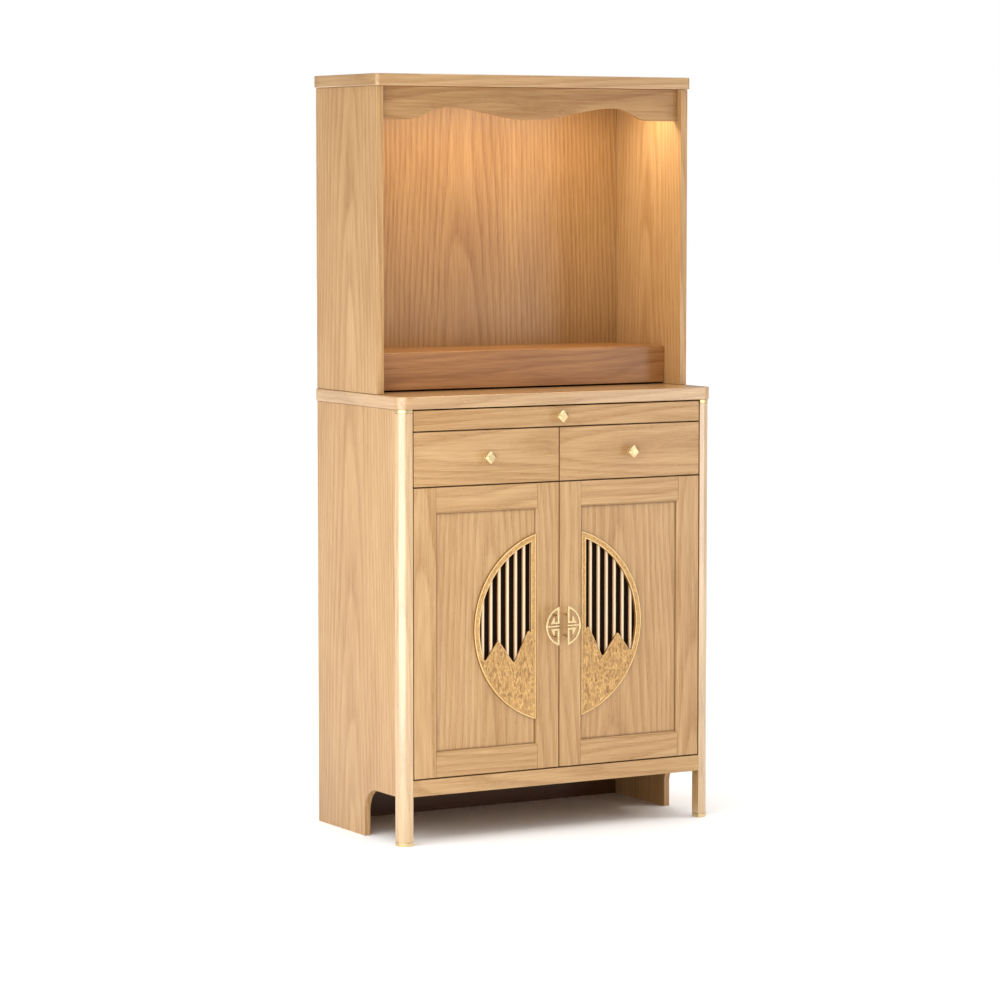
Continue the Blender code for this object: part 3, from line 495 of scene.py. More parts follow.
def oak(node, along, tones=OAK):
    """Lacquered oak for one board, with its grain along one axis. A ring is the distance from the log's
    swaying heart, plus a share of the length, over the ring spacing."""
    low, high = corners(node)
    coat = {**POLISHED_COAT, "Coat_IOR": POLISHED_IOR[node]} if node in POLISHED_IOR else SATIN_COAT
    material, tree, shader, place = new_material(f"lacquered_oak_{node}", **coat)
    heart = [0.0, 0.0, chance.uniform(0.0, LOG_LENGTH)]
    thin = TURNED[along].index(int(np.argmin(high - low)))
    heart[thin] = HEART_DISTANCE + chance.uniform(*HEART_SPREAD)
    heart[1 - thin] = chance.uniform(-HEART_ASIDE, HEART_ASIDE)
    centred = add(tree, "ShaderNodeVectorMath", {0: place, 1: (low + high) / 2},
                  operation="SUBTRACT").outputs[0]
    grain = add(tree, "ShaderNodeMapping",
                {"Vector": centred, "Rotation": TURNS[along], "Location": heart}).outputs[0]
    if node in ("cap_board", "altar_top"):
        band = add(tree, "ShaderNodeMapping",
                   {"Vector": centred, "Rotation": TURNS[Y], "Location": heart}).outputs[0]
        across = add(tree, "ShaderNodeSeparateXYZ", {0: centred}).outputs["X"]
        out = add(tree, "ShaderNodeMath", {0: across}, operation="ABSOLUTE").outputs[0]
        end = add(tree, "ShaderNodeMath", {0: out, 1: (high[X] - low[X]) / 2 - EDGE_BAND},
                  operation="GREATER_THAN").outputs[0]
        grain = add(tree, "ShaderNodeMix", {0: end, MIX_VECTOR_A: grain, MIX_VECTOR_B: band},
                    data_type="VECTOR").outputs[MIX_VECTOR_RESULT]

    fields = []
    for across, length, detail in (SWAY_CELL, STREAK_CELL, FIBRE_CELL, PATCH_CELL, PORE_CELL):
        scale = (1 / across, 1 / across, 1 / length)
        stretched = add(tree, "ShaderNodeVectorMath", {0: grain, 1: scale}, operation="MULTIPLY").outputs[0]
        noise = add(tree, "ShaderNodeTexNoise", {"Vector": stretched, "Scale": 1.0, "Detail": detail})
        fields.append(noise.outputs)
    sway, streak, fibre, patch, pore = fields

    swayed = add(tree, "ShaderNodeVectorMath", {0: sway["Color"], 1: (SWAY, SWAY, 0.0), 2: grain},
                 operation="MULTIPLY_ADD").outputs[0]
    flat = add(tree, "ShaderNodeVectorMath", {0: swayed, 1: (1.0, 1.0, 0.0)},
               operation="MULTIPLY").outputs[0]
    radius = add(tree, "ShaderNodeVectorMath", {0: flat}, operation="LENGTH").outputs["Value"]
    length = add(tree, "ShaderNodeSeparateXYZ", {0: grain}).outputs["Z"]
    rings = add(tree, "ShaderNodeMath", {0: length, 1: RING_TAPER, 2: radius},
                operation="MULTIPLY_ADD").outputs[0]
    rings = add(tree, "ShaderNodeMath", {0: rings, 1: RING_SPACING}, operation="DIVIDE").outputs[0]
    ring = add(tree, "ShaderNodeMath", {0: rings}, operation="FRACT").outputs[0]
    fading = add(tree, "ShaderNodeMapRange", {0: ring, 1: 0.0, 2: EARLY_END, 3: 1.0, 4: 0.0}).outputs[0]
    rising = add(tree, "ShaderNodeMapRange", {0: ring, 1: EARLY_START, 2: 1.0}).outputs[0]
    early = add(tree, "ShaderNodeMath", {0: fading, 1: rising}, operation="MAXIMUM").outputs[0]
    open_pore = add(tree, "ShaderNodeMapRange", {0: pore["Fac"], 1: PORE_EDGE, 2: PORE_DEEP}).outputs[0]

    shade = add(tree, "ShaderNodeMath", {0: early, 1: RING_WEIGHT}, operation="MULTIPLY").outputs[0]
    for part, weight in ((streak, STREAK_WEIGHT), (fibre, FIBRE_WEIGHT), (patch, PATCH_WEIGHT)):
        shade = add(tree, "ShaderNodeMath", {0: part["Fac"], 1: weight, 2: shade},
                    operation="MULTIPLY_ADD").outputs[0]
    lot = chance.uniform(-BOARD_SPREAD, BOARD_SPREAD)
    shade = add(tree, "ShaderNodeMapRange", {0: shade, 1: SHADE_LOW + lot, 2: SHADE_HIGH + lot}).outputs[0]
    wood = add(tree, "ShaderNodeMix", {0: shade, MIX_A: hex_colour(tones[0]), MIX_B: hex_colour(tones[1])},
               data_type="RGBA").outputs[MIX_RESULT]
    porous = add(tree, "ShaderNodeMath", {0: open_pore, 1: early}, operation="MULTIPLY").outputs[0]
    porous = add(tree, "ShaderNodeMath", {0: porous, 1: PORE_DARKNESS}, operation="MULTIPLY").outputs[0]
    colour = add(tree, "ShaderNodeMix", {0: porous, MIX_A: wood, MIX_B: hex_colour(OAK_PORE)},
                 data_type="RGBA").outputs[MIX_RESULT]
    # painted shade darkens the colour where shadow falls: a panel's border and the back below the floor
    painted_shade = painted_shade_part(tree, node, place)
    if painted_shade is not None:
        colour = add(tree, "ShaderNodeMix", {0: painted_shade, MIX_A: colour, MIX_B: hex_colour(OAK_PAINTED_SHADE)},
                     data_type="RGBA").outputs[MIX_RESULT]
    tree.links.new(colour, shader.inputs["Base Color"])
    rough = add(tree, "ShaderNodeMath", {0: fibre["Fac"], 1: OAK_UNEVEN, 2: OAK_ROUGHNESS - OAK_UNEVEN / 2},
                operation="MULTIPLY_ADD").outputs[0]
    tree.links.new(rough, shader.inputs["Roughness"])
    relief = {"Height": open_pore, "Distance": PORE_BUMP, "Strength": PORE_BUMP_SHARE}
    bump = add(tree, "ShaderNodeBump", relief, invert=True).outputs[0]
    tree.links.new(bump, shader.inputs["Normal"])
    return material


# Brass, gilt wood, slats and backing
POLISHED_BRASS = ("#E6D3A6", "#CDB280", 0.28)   # pale tone, dark tone and roughness
BROWNED_BRASS = ("#4A3420", "#38261A", 0.45)
BRASS_CLOUDS = 180.0            # clouds of gloss to a metre, about 6 mm each
BRASS_UNEVEN = 0.14
GILT_CUT_START, GILT_CUT_END = 0.0004, 0.0022   # depths behind the face between which a cut turns brown
GILT_WORN_START, GILT_WORN_END = 0.00005, 0.0005    # depths between which the burnished tone ends
GILT_FLECKS = 1.6
GILT_SHADE_LOW, GILT_SHADE_HIGH = 0.45, 1.75
SLAT_FIBRES = (700.0, 700.0, 22.0)      # to a metre: about 1.4 mm apart and 45 mm long
SLAT_LIT_AND_SHADED_TONES = ("#EFDDBB", "#9A6E40")     # lit face, shaded flank: painted light and shade of the round slat
SLAT_LIT_END, SLAT_SHADED_START = 0.0001, 0.0014
BACKING_GRAINS = 900.0          # to a metre, about 1 mm each
BACKING_TONES = ("#0E0603", "#180C05")


def cast_brass(name, pale, dark, roughness):
    """Brass, cast and lacquered, its gloss a little uneven where the buff passed."""
    material, tree, shader, place = new_material(name, Metallic=1.0)
    cloud = add(tree, "ShaderNodeTexNoise",
                {"Vector": place, "Scale": BRASS_CLOUDS, "Detail": 3.0}).outputs["Fac"]
    colour = add(tree, "ShaderNodeMix", {0: cloud, MIX_A: hex_colour(pale), MIX_B: hex_colour(dark)},
                 data_type="RGBA").outputs[MIX_RESULT]
    tree.links.new(colour, shader.inputs["Base Color"])
    rough = add(tree, "ShaderNodeMath", {0: cloud, 1: BRASS_UNEVEN, 2: roughness - BRASS_UNEVEN / 2},
                operation="MULTIPLY_ADD").outputs[0]
    tree.links.new(rough, shader.inputs["Roughness"])
    return material


def gilt_carving(name, face):
    """Carved limewood under gold-toned varnish: burnished pale on the edges that stand at the given
    depth, gold on the rest, brown in the cuts, with a satin gloss broken by the gouge."""
    material, tree, shader, place = new_material(name, Coat_Weight=0.25, Coat_Roughness=0.3)
    depth = add(tree, "ShaderNodeSeparateXYZ", {0: place}).outputs["Y"]
    worn = add(tree, "ShaderNodeMapRange",
               {0: depth, 1: face + GILT_WORN_START, 2: face + GILT_WORN_END}).outputs[0]
    cut = add(tree, "ShaderNodeMapRange",
              {0: depth, 1: face + GILT_CUT_START, 2: face + GILT_CUT_END}).outputs[0]
    scale = (1 / FLECK_ACROSS, 1 / FLECK_ACROSS, 1 / FLECK_ALONG)
    grain = add(tree, "ShaderNodeVectorMath", {0: place, 1: scale}, operation="MULTIPLY").outputs[0]
    fleck = add(tree, "ShaderNodeTexNoise", {"Vector": grain, "Scale": 1.0, "Detail": 3.0}).outputs["Fac"]
    shade = add(tree, "ShaderNodeMath", {0: fleck, 1: GILT_FLECKS, 2: cut},
                operation="MULTIPLY_ADD").outputs[0]
    shade = add(tree, "ShaderNodeMapRange", {0: shade, 1: GILT_SHADE_LOW, 2: GILT_SHADE_HIGH}).outputs[0]
    colour = add(tree, "ShaderNodeMix", {0: shade, MIX_A: hex_colour(GILT[1]), MIX_B: hex_colour(GILT[2])},
                 data_type="RGBA").outputs[MIX_RESULT]
    colour = add(tree, "ShaderNodeMix", {0: worn, MIX_A: hex_colour(GILT[0]), MIX_B: colour},
                 data_type="RGBA").outputs[MIX_RESULT]
    tree.links.new(colour, shader.inputs["Base Color"])
    rough = add(tree, "ShaderNodeMath", {0: fleck, 1: 0.2, 2: 0.30}, operation="MULTIPLY_ADD").outputs[0]
    tree.links.new(rough, shader.inputs["Roughness"])
    return material


def slat_with_painted_shading():
    """Maple slats, pale on their rounded faces and darker on their flanks, as painted light and shade of
    the round.
    """
    material, tree, shader, place = new_material("maple_with_painted_shading",
                                                 Coat_Weight=0.25, Coat_Roughness=0.25)
    face = corners("door_right_moon_lattice")[0][Y]
    depth = add(tree, "ShaderNodeSeparateXYZ", {0: place}).outputs["Y"]
    # painted shade: darker from the slat's face back over its flanks
    shaded_flank = add(tree, "ShaderNodeMapRange",
                {0: depth, 1: face + SLAT_LIT_END, 2: face + SLAT_SHADED_START}).outputs[0]
    grain = add(tree, "ShaderNodeVectorMath", {0: place, 1: SLAT_FIBRES}, operation="MULTIPLY").outputs[0]
    fibre = add(tree, "ShaderNodeTexNoise", {"Vector": grain, "Scale": 1.0, "Detail": 2.0}).outputs["Fac"]
    shade = add(tree, "ShaderNodeMath", {0: fibre, 1: 0.3, 2: shaded_flank}, operation="MULTIPLY_ADD").outputs[0]
    tones = {MIX_A: hex_colour(SLAT_LIT_AND_SHADED_TONES[0]), MIX_B: hex_colour(SLAT_LIT_AND_SHADED_TONES[1])}
    colour = add(tree, "ShaderNodeMix", {0: shade, **tones}, data_type="RGBA").outputs[MIX_RESULT]
    tree.links.new(colour, shader.inputs["Base Color"])
    rough = add(tree, "ShaderNodeMath", {0: fibre, 1: 0.15, 2: 0.30}, operation="MULTIPLY_ADD").outputs[0]
    tree.links.new(rough, shader.inputs["Roughness"])
    return material


def black_backing():
    """A black plastic plate with a fine moulded grain, which takes the light from behind the slats."""
    material, tree, shader, place = new_material("moulded_black_plastic", Specular_IOR_Level=0.05)
    grain = add(tree, "ShaderNodeTexNoise",
                {"Vector": place, "Scale": BACKING_GRAINS, "Detail": 1.0}).outputs["Fac"]
    tones = {MIX_A: hex_colour(BACKING_TONES[0]), MIX_B: hex_colour(BACKING_TONES[1])}
    colour = add(tree, "ShaderNodeMix", {0: grain, **tones}, data_type="RGBA").outputs[MIX_RESULT]
    tree.links.new(colour, shader.inputs["Base Color"])
    rough = add(tree, "ShaderNodeMath", {0: grain, 1: 0.2, 2: 0.65}, operation="MULTIPLY_ADD").outputs[0]
    tree.links.new(rough, shader.inputs["Roughness"])
    return material


# Boards of the case

def oak_piece(node, mesh, along, tones=OAK):
    """An oak board in place of a solid, with a figure of its own."""
    if not isinstance(mesh, bpy.types.Mesh):
        mesh = mesh_of(node, mesh)
    stand_in(node, mesh, oak(node, along, tones))


def plain_boards():
    """Every plain board, with its grain along its own length."""
    boards = {Z: {"shrine_side_left": OAK, "shrine_side_right": OAK, "shrine_back": INSIDE_OAK,
                  "cabinet_back": INSIDE_OAK},
              X: {"step_front": STEP_SHADED_OAK, "step_top": STEP_SHADED_OAK, "bottom_rail": OAK, "tray_front": OAK,
                  "tray_board": OAK, "drawer_left_front": OAK, "drawer_right_front": OAK,
                  "cabinet_floor": INSIDE_OAK},
              Y: {"drawer_divider": INSIDE_OAK, "drawer_guide_left": INSIDE_OAK,
                  "drawer_guide_right": INSIDE_OAK}}
    for along, nodes in boards.items():
        for node, tones in nodes.items():
            oak_piece(node, board(*corners(node)), along, tones)


def kept_solids(browned):
    """Solids whose own shape is right: door panels, shelves, tray guides and hinge plates."""
    finishes = {f"door_{side}_panel": (Z, OAK) for side in SIDES}
    finishes.update({"tray_shelf": (X, INSIDE_OAK), "drawer_shelf": (X, INSIDE_OAK)})
    finishes.update({f"tray_guide_{side}": (Y, INSIDE_OAK) for side in SIDES})
    for node, (along, tones) in finishes.items():
        frame["nodes"][node].material_slots[0].material = oak(node, along, tones)
    for side in SIDES:
        for level in ("top", "bottom"):
            frame["nodes"][f"hinge_{side}_{level}"].material_slots[0].material = browned


def lying_top(node, corner):
    """A lying board whose two front corners are quarter circles."""
    low, high = corners(node)
    outline = np.concatenate([arc((low[X] + corner, low[Y] + corner), corner, 180, 270),
                              arc((high[X] - corner, low[Y] + corner), corner, 270, 360),
                              [(high[X], high[Y]), (low[X], high[Y])]])
    oak_piece(node, slab(outline, low[Z], high[Z], Z, SOFT_EASE), X)


def posts(brass):
    """Corner posts between brass foot caps and brass collars. In plan each is a rectangle whose outer
    front corner is a quarter circle."""
    low, high = corners("post_right")
    turn = arc((high[X] - POST_ROUND, low[Y] + POST_ROUND), POST_ROUND, 270, 360)
    outline = np.concatenate([[(low[X], low[Y])], turn, [(high[X], high[Y]), (low[X], high[Y])]])
    for side, sign in SIDES.items():
        for node in (f"post_{side}", f"foot_cap_{side}", f"collar_{side}"):
            low, high = corners(node)
            shell = handed(slab(outline, low[Z], high[Z], Z, BRASS_EASE), sign)
            if node.startswith("post"):
                oak_piece(node, shell, Z, POST_HIGHLIGHT_OAK)
            else:
                stand_in(node, mesh_of(node, shell), brass)


def side_panels():
    """Side panels: upright boards with an arch between the front post and the rear leg."""
    leg = corners("post_right")[1][Y] + ARCH_REACH
    arch_top = corners("bottom_rail")[0][Z]
    for side in SIDES:
        low, high = corners(f"side_panel_{side}")
        bend = arc((leg - ARCH_ROUND, arch_top - ARCH_ROUND), ARCH_ROUND, 90, 0)
        outline = np.concatenate([bend, [(leg, low[Z]), (high[Y], low[Z]), (high[Y], high[Z]),
                                         (low[Y], high[Z]), (low[Y], arch_top)]])
        oak_piece(f"side_panel_{side}", slab(outline, low[X], high[X], X, EASE), Z)


def valance():
    """The board over the shrine's opening. Its lower edge stands rise (1 - cos(pi x / crest)) / 2 above
    its lowest line up to each crest, and rise (1 + cos(pi (x - crest) / (end - crest))) / 2 beyond
    it."""
    low, high = corners("valance")
    x = np.linspace(low[X], high[X], WAVE_STEPS + 1)
    out = np.clip((np.abs(x) - WAVE_CREST_X) / (WAVE_END_X - WAVE_CREST_X), 0.0, 1.0)
    near = (1 - np.cos(math.pi * np.abs(x) / WAVE_CREST_X)) / 2
    swell = np.where(np.abs(x) < WAVE_CREST_X, near, (1 + np.cos(math.pi * out)) / 2)
    edge = np.stack([x, corners("cap_board")[0][Z] - VALANCE_DROP + WAVE_RISE * swell], axis=1)
    outline = np.concatenate([edge, [(high[X], high[Z]), (low[X], high[Z])]])
    # darker oak on the valance: painted shade under the cap
    oak_piece("valance", slab(outline, low[Y], high[Y], Y, EASE), X, VALANCE_SHADED_OAK)


def drawer_box(node):
    """A drawer's box as one shell: up its outside, over the rounded rim of its walls and down to its
    floor."""
    low, high = corners(node)
    levels, insets = rim(low[Z], high[Z], EASE)
    over = len(levels) // 2
    levels = np.concatenate([levels, levels[over:][::-1], [low[Z] + DRAWER_BOTTOM]])
    insets = np.concatenate([insets, DRAWER_WALL - insets[over:][::-1], [DRAWER_WALL]])
    outer = rectangle(low[:2], high[:2])
    shell = skin(np.array([np.insert(inset(outer, narrow), Z, level, axis=1)
                           for level, narrow in zip(levels, insets)]))
    oak_piece(node, shell, Y, INSIDE_OAK)


# Doors

def stile_outline(low, high, toward, lip):
    """Front view of a stile, with a lip toward the panel between the rails."""
    flat, tip = (low[X], high[X]) if toward > 0 else (high[X], low[X])
    edge = tip - toward * SIGHT_BEVEL
    inner = edge + toward * lip
    bottom = low[Z] + RAIL_WIDTH - SIGHT_BEVEL
    top = high[Z] - RAIL_WIDTH + SIGHT_BEVEL
    return np.array([(flat, low[Z]), (flat, high[Z]), (edge, high[Z]), (edge, top), (inner, top - lip),
                     (inner, bottom + lip), (edge, bottom), (edge, low[Z])])


def rail_outline(low, high, toward, lip):
    """Front view of a rail, with a lip toward the panel that is mitred into the stiles' lips."""
    outer, tip = (low[Z], high[Z]) if toward > 0 else (high[Z], low[Z])
    edge = tip - toward * SIGHT_BEVEL
    inner = edge + toward * lip
    return np.array([(low[X], outer), (high[X], outer), (high[X], edge), (high[X] - lip, inner),
                     (low[X] + lip, inner), (low[X], edge)])


def frame_member(part, sign, outline_of, toward, along):
    """A stile or rail: rounded arrises, a bevel down to the panel, the panel's groove and the pivots'
    bores."""
    low, high = corners(f"door_right_{part}")
    bare, full = outline_of(low, high, toward, FIT), outline_of(low, high, toward, SIGHT_BEVEL)
    levels, insets = rim(low[Y], high[Y], EASE)
    half = len(levels) // 2
    outlines = [inset(bare, narrow) for narrow in insets[:half]] + [full]
    outlines += [inset(full, narrow) for narrow in insets[half:]]
    levels = np.insert(levels, half, low[Y] + SIGHT_BEVEL_DEPTH)
    rings = [np.insert(outline, Y, level, axis=1) for outline, level in zip(outlines, levels)]
    shells = [skin(np.array(rings))]
    panel_low, panel_high = corners("door_right_panel")
    shells.append(board(panel_low - FIT, panel_high + FIT, BRASS_EASE))
    if part == "outer_stile":
        pivot = (high[X] - PIVOT_INSET, low[Y] + PIVOT_INSET)
        circle = arc(pivot, BORE_RADIUS, 0, LAST_TURN, ARC_STEPS - 1)
        for bottom in (low[Z] - BORE_DEPTH, high[Z] - BORE_DEPTH):
            shells.append(skin(np.array([np.insert(circle, Z, level, axis=1)
                                         for level in (bottom, bottom + 2 * BORE_DEPTH)])))
    side = "right" if sign > 0 else "left"
    node = f"door_{side}_{part}"
    oak_piece(node, combined(node, "DIFFERENCE", [handed(shell, sign) for shell in shells]), along)


def moon_outline(ring, bar, bar_steps=1):
    """A half-disc seen from the front: its arc moved in by ring and its straight side by bar."""
    straight, radius = moon_x + bar, MOON_RADIUS - ring
    turn = math.degrees(math.acos(straight / radius))
    bend = arc((0.0, moon_z), radius, -turn, turn, MOON_ARC_STEPS)
    side = np.linspace(bend[-1], bend[0], bar_steps + 1)[1:-1]
    return np.concatenate([bend, side])


def grid_noise(across, along):
    """Value noise of two arrays in cells: random heights on a grid, blended by f^2 (3 - 2 f)."""
    heights = chance.uniform(0.0, 1.0, (GRID, GRID))
    i, j = np.floor(across).astype(int), np.floor(along).astype(int)
    f, g = across - i, along - j
    f, g = f * f * (3 - 2 * f), g * g * (3 - 2 * g)
    near = heights[i % GRID, j % GRID] * (1 - g) + heights[i % GRID, (j + 1) % GRID] * g
    far = heights[(i + 1) % GRID, j % GRID] * (1 - g) + heights[(i + 1) % GRID, (j + 1) % GRID] * g
    return near * (1 - f) + far * f


def moon_ring(front, back):
    """The half-moon's rim: a band with a rounded bead along both edges and a sunk, gouged strip between
    them, carried round the arc and down the straight bar. Below the mountains' outline its inner part
    is cut back, and the mountains take its place."""
    u = np.linspace(0.0, 1.0, BAND_STEPS + 1)
    loops = np.array([moon_outline(MOON_RING * share, MOON_BAR * share, MOON_BAR_STEPS) for share in u])
    off = np.abs(2 * u - 1)
    bead = np.clip((off - BEAD_START) / (1 - BEAD_START), 0.0, 1.0)
    strip = np.clip((BEAD_START - off) / BEAD_WIDTH, 0.0, 1.0)
    steps = np.linalg.norm(np.diff(loops[BAND_STEPS // 2], axis=0), axis=1)
    along = np.concatenate([[0.0], np.cumsum(steps)])
    across, along = np.broadcast_arrays((u * MOON_RING)[:, None], along)
    gouged = grid_noise(across / GOUGE_ACROSS, along / GOUGE_ALONG)
    depth = front + MOON_SINK * (bead ** 2)[:, None] + strip[:, None] * (BAND_SINK + GOUGE_DEPTH * gouged)
    carved = np.clip((mountain_line(loops[..., 0]) - loops[..., 1]) / SEAM_SINK, 0.0, 1.0)
    depth += SEAM_SINK * carved * np.clip((u - MOUNTAIN_SEAM) / SEAM_WIDTH, 0.0, 1.0)[:, None]
    faces = np.stack([loops[..., 0], depth, loops[..., 1]], axis=-1)
    edges = faces[[0, -1]].copy()
    edges[..., Y] = back
    return skin(np.concatenate([edges[:1], faces, edges[1:]]), wrap=True)


def mountain_line(x):
    """Height of the mountains' outline: straight slopes between the named points, averaged over a short
    run."""
    points = np.array([PEAK_SHOULDER, PEAK_A, VALLEY, PEAK_B, OUTER_VALLEY, OUTER_RISE])
    first = points[0] - LINE_BEYOND * (points[1] - points[0])
    last = points[-1] + LINE_BEYOND * (points[-1] - points[-2])
    points = np.concatenate([[first], points, [last]])
    runs = np.linspace(-PEAK_SOFTNESS, PEAK_SOFTNESS, SOFT_STEPS)
    return moon_z + np.mean([np.interp(x + run, points[:, 0], points[:, 1]) for run in runs], axis=0)


def mountains(front, back):
    """Mountains as upright columns from the rim's arc up to their outline. Strokes fan out below each
    peak, as ridges 1 - |2 n - 1| of noise n in angle and distance. A burnished crest stands proud
    along the outline by exp(-(distance / width)^2)."""
    reach = MOON_RADIUS - MOON_RING * MOUNTAIN_SEAM
    x = np.linspace(moon_x + MOON_BAR * MOUNTAIN_SEAM, reach, FINE_STEPS)
    clear = mountain_line(x) > moon_z - np.sqrt(np.maximum(reach ** 2 - x ** 2, 0.0)) + MOUNTAIN_LOWEST
    x = np.linspace(x[0], x[np.argmin(clear) - 1], MOUNTAIN_COLUMNS + 1)[:, None]
    low, high = moon_z - np.sqrt(reach ** 2 - x ** 2), mountain_line(x)
    share = 1 - (1 - np.linspace(0.0, 1.0, MOUNTAIN_ROWS + 1)) ** ROW_CROWDING
    z = low + (high - low) * share
    x, z = np.broadcast_arrays(x, z)
    peak = np.where((x < OUTER_VALLEY[0])[..., None], PEAK_B, OUTER_RISE)
    peak = np.where((x < VALLEY[0])[..., None], PEAK_A, peak)
    aside, below = x - peak[..., 0], moon_z + peak[..., 1] + FAN_RISE - z
    turn, away = np.arctan2(aside, below), np.hypot(aside, below)
    stroke = np.zeros_like(x)
    for size, weight in CHISEL_SIZES:
        fan = turn * FAN_REACH / (CHISEL_ACROSS * size) + CELL_SHIFT
        cells = grid_noise(fan, away / (CHISEL_ALONG * size))
        stroke += weight * (1 - np.abs(2 * cells - 1))
    below_crest = high - z
    crest = np.exp(-(below_crest / CREST_WIDTH) ** 2)
    carved = CHISEL_DEPTH * CHISEL_SWING * (0.5 - stroke)
    depth = front + MOUNTAIN_SINK + carved * (1 - crest) - CREST_PROUD * crest
    depth += CREST_FALL * np.clip(1 - below_crest / CREST_ROUND, 0.0, 1.0) ** 2
    face = np.stack([x, np.maximum(depth, front + MOUNTAIN_LEAST), z], axis=-1)
    rear = face[:, [-1, 0]].copy()
    rear[..., Y] = back
    return skin(np.concatenate([face, rear], axis=1))


def moon_carving(node, sign):
    """Rim and mountains in one."""
    low, high = corners("door_right_moon_carving")
    shells = [moon_ring(low[Y], high[Y]), mountains(low[Y], high[Y])]
    mesh = combined(node, "UNION", [handed(shell, sign) for shell in shells])
    stand_in(node, mesh, gilt_carving(f"gilt_{node}", low[Y]))


def moon_lattice(node, sign, slat):
    """Upright slats with half-elliptic fronts, joined by a thin rim that hides behind the carving."""
    low, high = corners("door_right_moon_lattice")
    inner = MOON_SEAT + FIT + LATTICE_RIM
    outer = MOON_SEAT + FIT
    section = ((inner, low[Y]), (outer, low[Y]), (outer, high[Y]), (inner, high[Y]))
    loops = [np.insert(moon_outline(edge, edge), Y, level, axis=1) for edge, level in section]
    shells = [skin(np.array(loops), wrap=True)]
    radius = MOON_RADIUS - inner + LATTICE_RIM / 2
    bend = arc((0.0, 0.0), 1.0, 180, 360, SLAT_STEPS)
    half, thick = SLAT_WIDTH / 2, high[Y] - low[Y]
    crown = bend * (half, SLAT_CROWN) + (0.0, SLAT_CROWN)
    profile = np.concatenate([crown, [(half, thick), (-half, thick)]])
    for number in range(SLAT_COUNT):
        x = profile[:, 0] + moon_x + MOON_BAR + SLAT_FIRST + SLAT_PITCH * number
        rise = np.sqrt(radius ** 2 - x ** 2)
        y = profile[:, 1] + low[Y]
        ends = [np.stack([x, y, moon_z + way * rise], axis=1) for way in (-1, 1)]
        shells.append(skin(np.array(ends)))
    mesh = combined(node, "UNION", [handed(shell, sign) for shell in shells])
    stand_in(node, mesh, slat)


def moon_backing(node, sign, black):
    """A half-disc plate behind the slats."""
    low, high = corners("door_right_moon_backing")
    shell = slab(moon_outline(MOON_SEAT + FIT, MOON_SEAT + FIT), low[Y], high[Y], Y, BRASS_EASE)
    stand_in(node, mesh_of(node, handed(shell, sign)), black)


def handle_outline():
    """One half of the round handle about the disc's centre: a bow, a straight bar, a middle bar, and one
    long hook with a barb above it and one below."""
    inner = HANDLE_RADIUS - HANDLE_BAR
    side, bar, hook = HANDLE_SPLIT, HANDLE_SPLIT + HANDLE_BAR, HOOK_INNER + HANDLE_BAR
    start = math.degrees(math.acos(bar / inner))
    middle = math.degrees(math.asin(MIDDLE_BAR / 2 / inner))
    upper = np.concatenate([[(side, HOOK_INNER), (HOOK_END, HOOK_INNER), (HOOK_BARB + HOOK_SLOPE, HOOK_TIP),
                             (HOOK_BARB, HOOK_TIP), (HOOK_BARB, hook), (bar, hook)],
                            arc((0.0, 0.0), inner, start, middle), [(side, MIDDLE_BAR / 2)]])
    turn = math.degrees(math.acos(side / HANDLE_RADIUS))
    bow = arc((0.0, 0.0), HANDLE_RADIUS, -turn, turn, 2 * ARC_STEPS)
    return np.concatenate([upper, upper[::-1] * (1, -1), bow])


def handle(node, sign, brass):
    """Half of the split handle: a flat bow with rounded edges on two short posts."""
    low, high = corners("door_right_handle")
    outline = handle_outline() + (0.0, moon_z)
    shells = [slab(outline, low[Y], low[Y] + HANDLE_THICK, Y, HANDLE_EDGE, HANDLE_FILLET)]
    for way in (-1, 1):
        centre = (HANDLE_SPLIT + HANDLE_BAR / 2, moon_z + way * HANDLE_POST_OFFSET)
        circle = arc(centre, HANDLE_POST_RADIUS, 0, LAST_TURN, ARC_STEPS - 1)
        shells.append(skin(np.array([np.insert(circle, Y, level, axis=1)
                                     for level in (low[Y] + HANDLE_THICK / 2, high[Y])])))
    mesh = combined(node, "UNION", [handed(shell, sign) for shell in shells])
    stand_in(node, mesh, brass)


def knob(node, brass):
    """A turned base and neck under a diamond head with a flat face. A head ring lies at
    r / (|cos t|^p + |sin t|^p)^(1/p), which is a square on its corner with its corners a little
    round."""
    low, high = corners(node)
    middle = (low + high) / 2
    face = high[Y] + FIT
    edge_front = face - low[Y] - KNOB_PYRAMID
    edge_back = edge_front - KNOB_EDGE
    head_back = edge_back - KNOB_UNDERCUT
    turn = np.linspace(0.0, 2 * math.pi, 4 * ARC_STEPS, endpoint=False)
    circle = np.stack([np.cos(turn), np.sin(turn)], axis=1)
    square = circle / ((np.abs(circle) ** KNOB_POWER).sum(axis=1, keepdims=True) ** (1 / KNOB_POWER))
    profile = [(circle, KNOB_BASE, FIT), (circle, KNOB_BASE, KNOB_BASE_THICK),
               (circle, KNOB_NECK, KNOB_BASE_THICK + KNOB_BASE_SLOPE),
               (circle, KNOB_NECK, head_back - KNOB_FLARE), (square, KNOB_SHOULDER, head_back),
               (square, KNOB_CORNER, edge_back), (square, KNOB_CORNER, edge_front),
               (square, KNOB_TIP, face - low[Y])]
    rings = [np.insert(shape * radius + middle[[X, Z]], Y, face - out, axis=1)
             for shape, radius, out in profile]
    stand_in(node, mesh_of(node, skin(np.array(rings))), brass, bevel=KNOB_BEVEL)


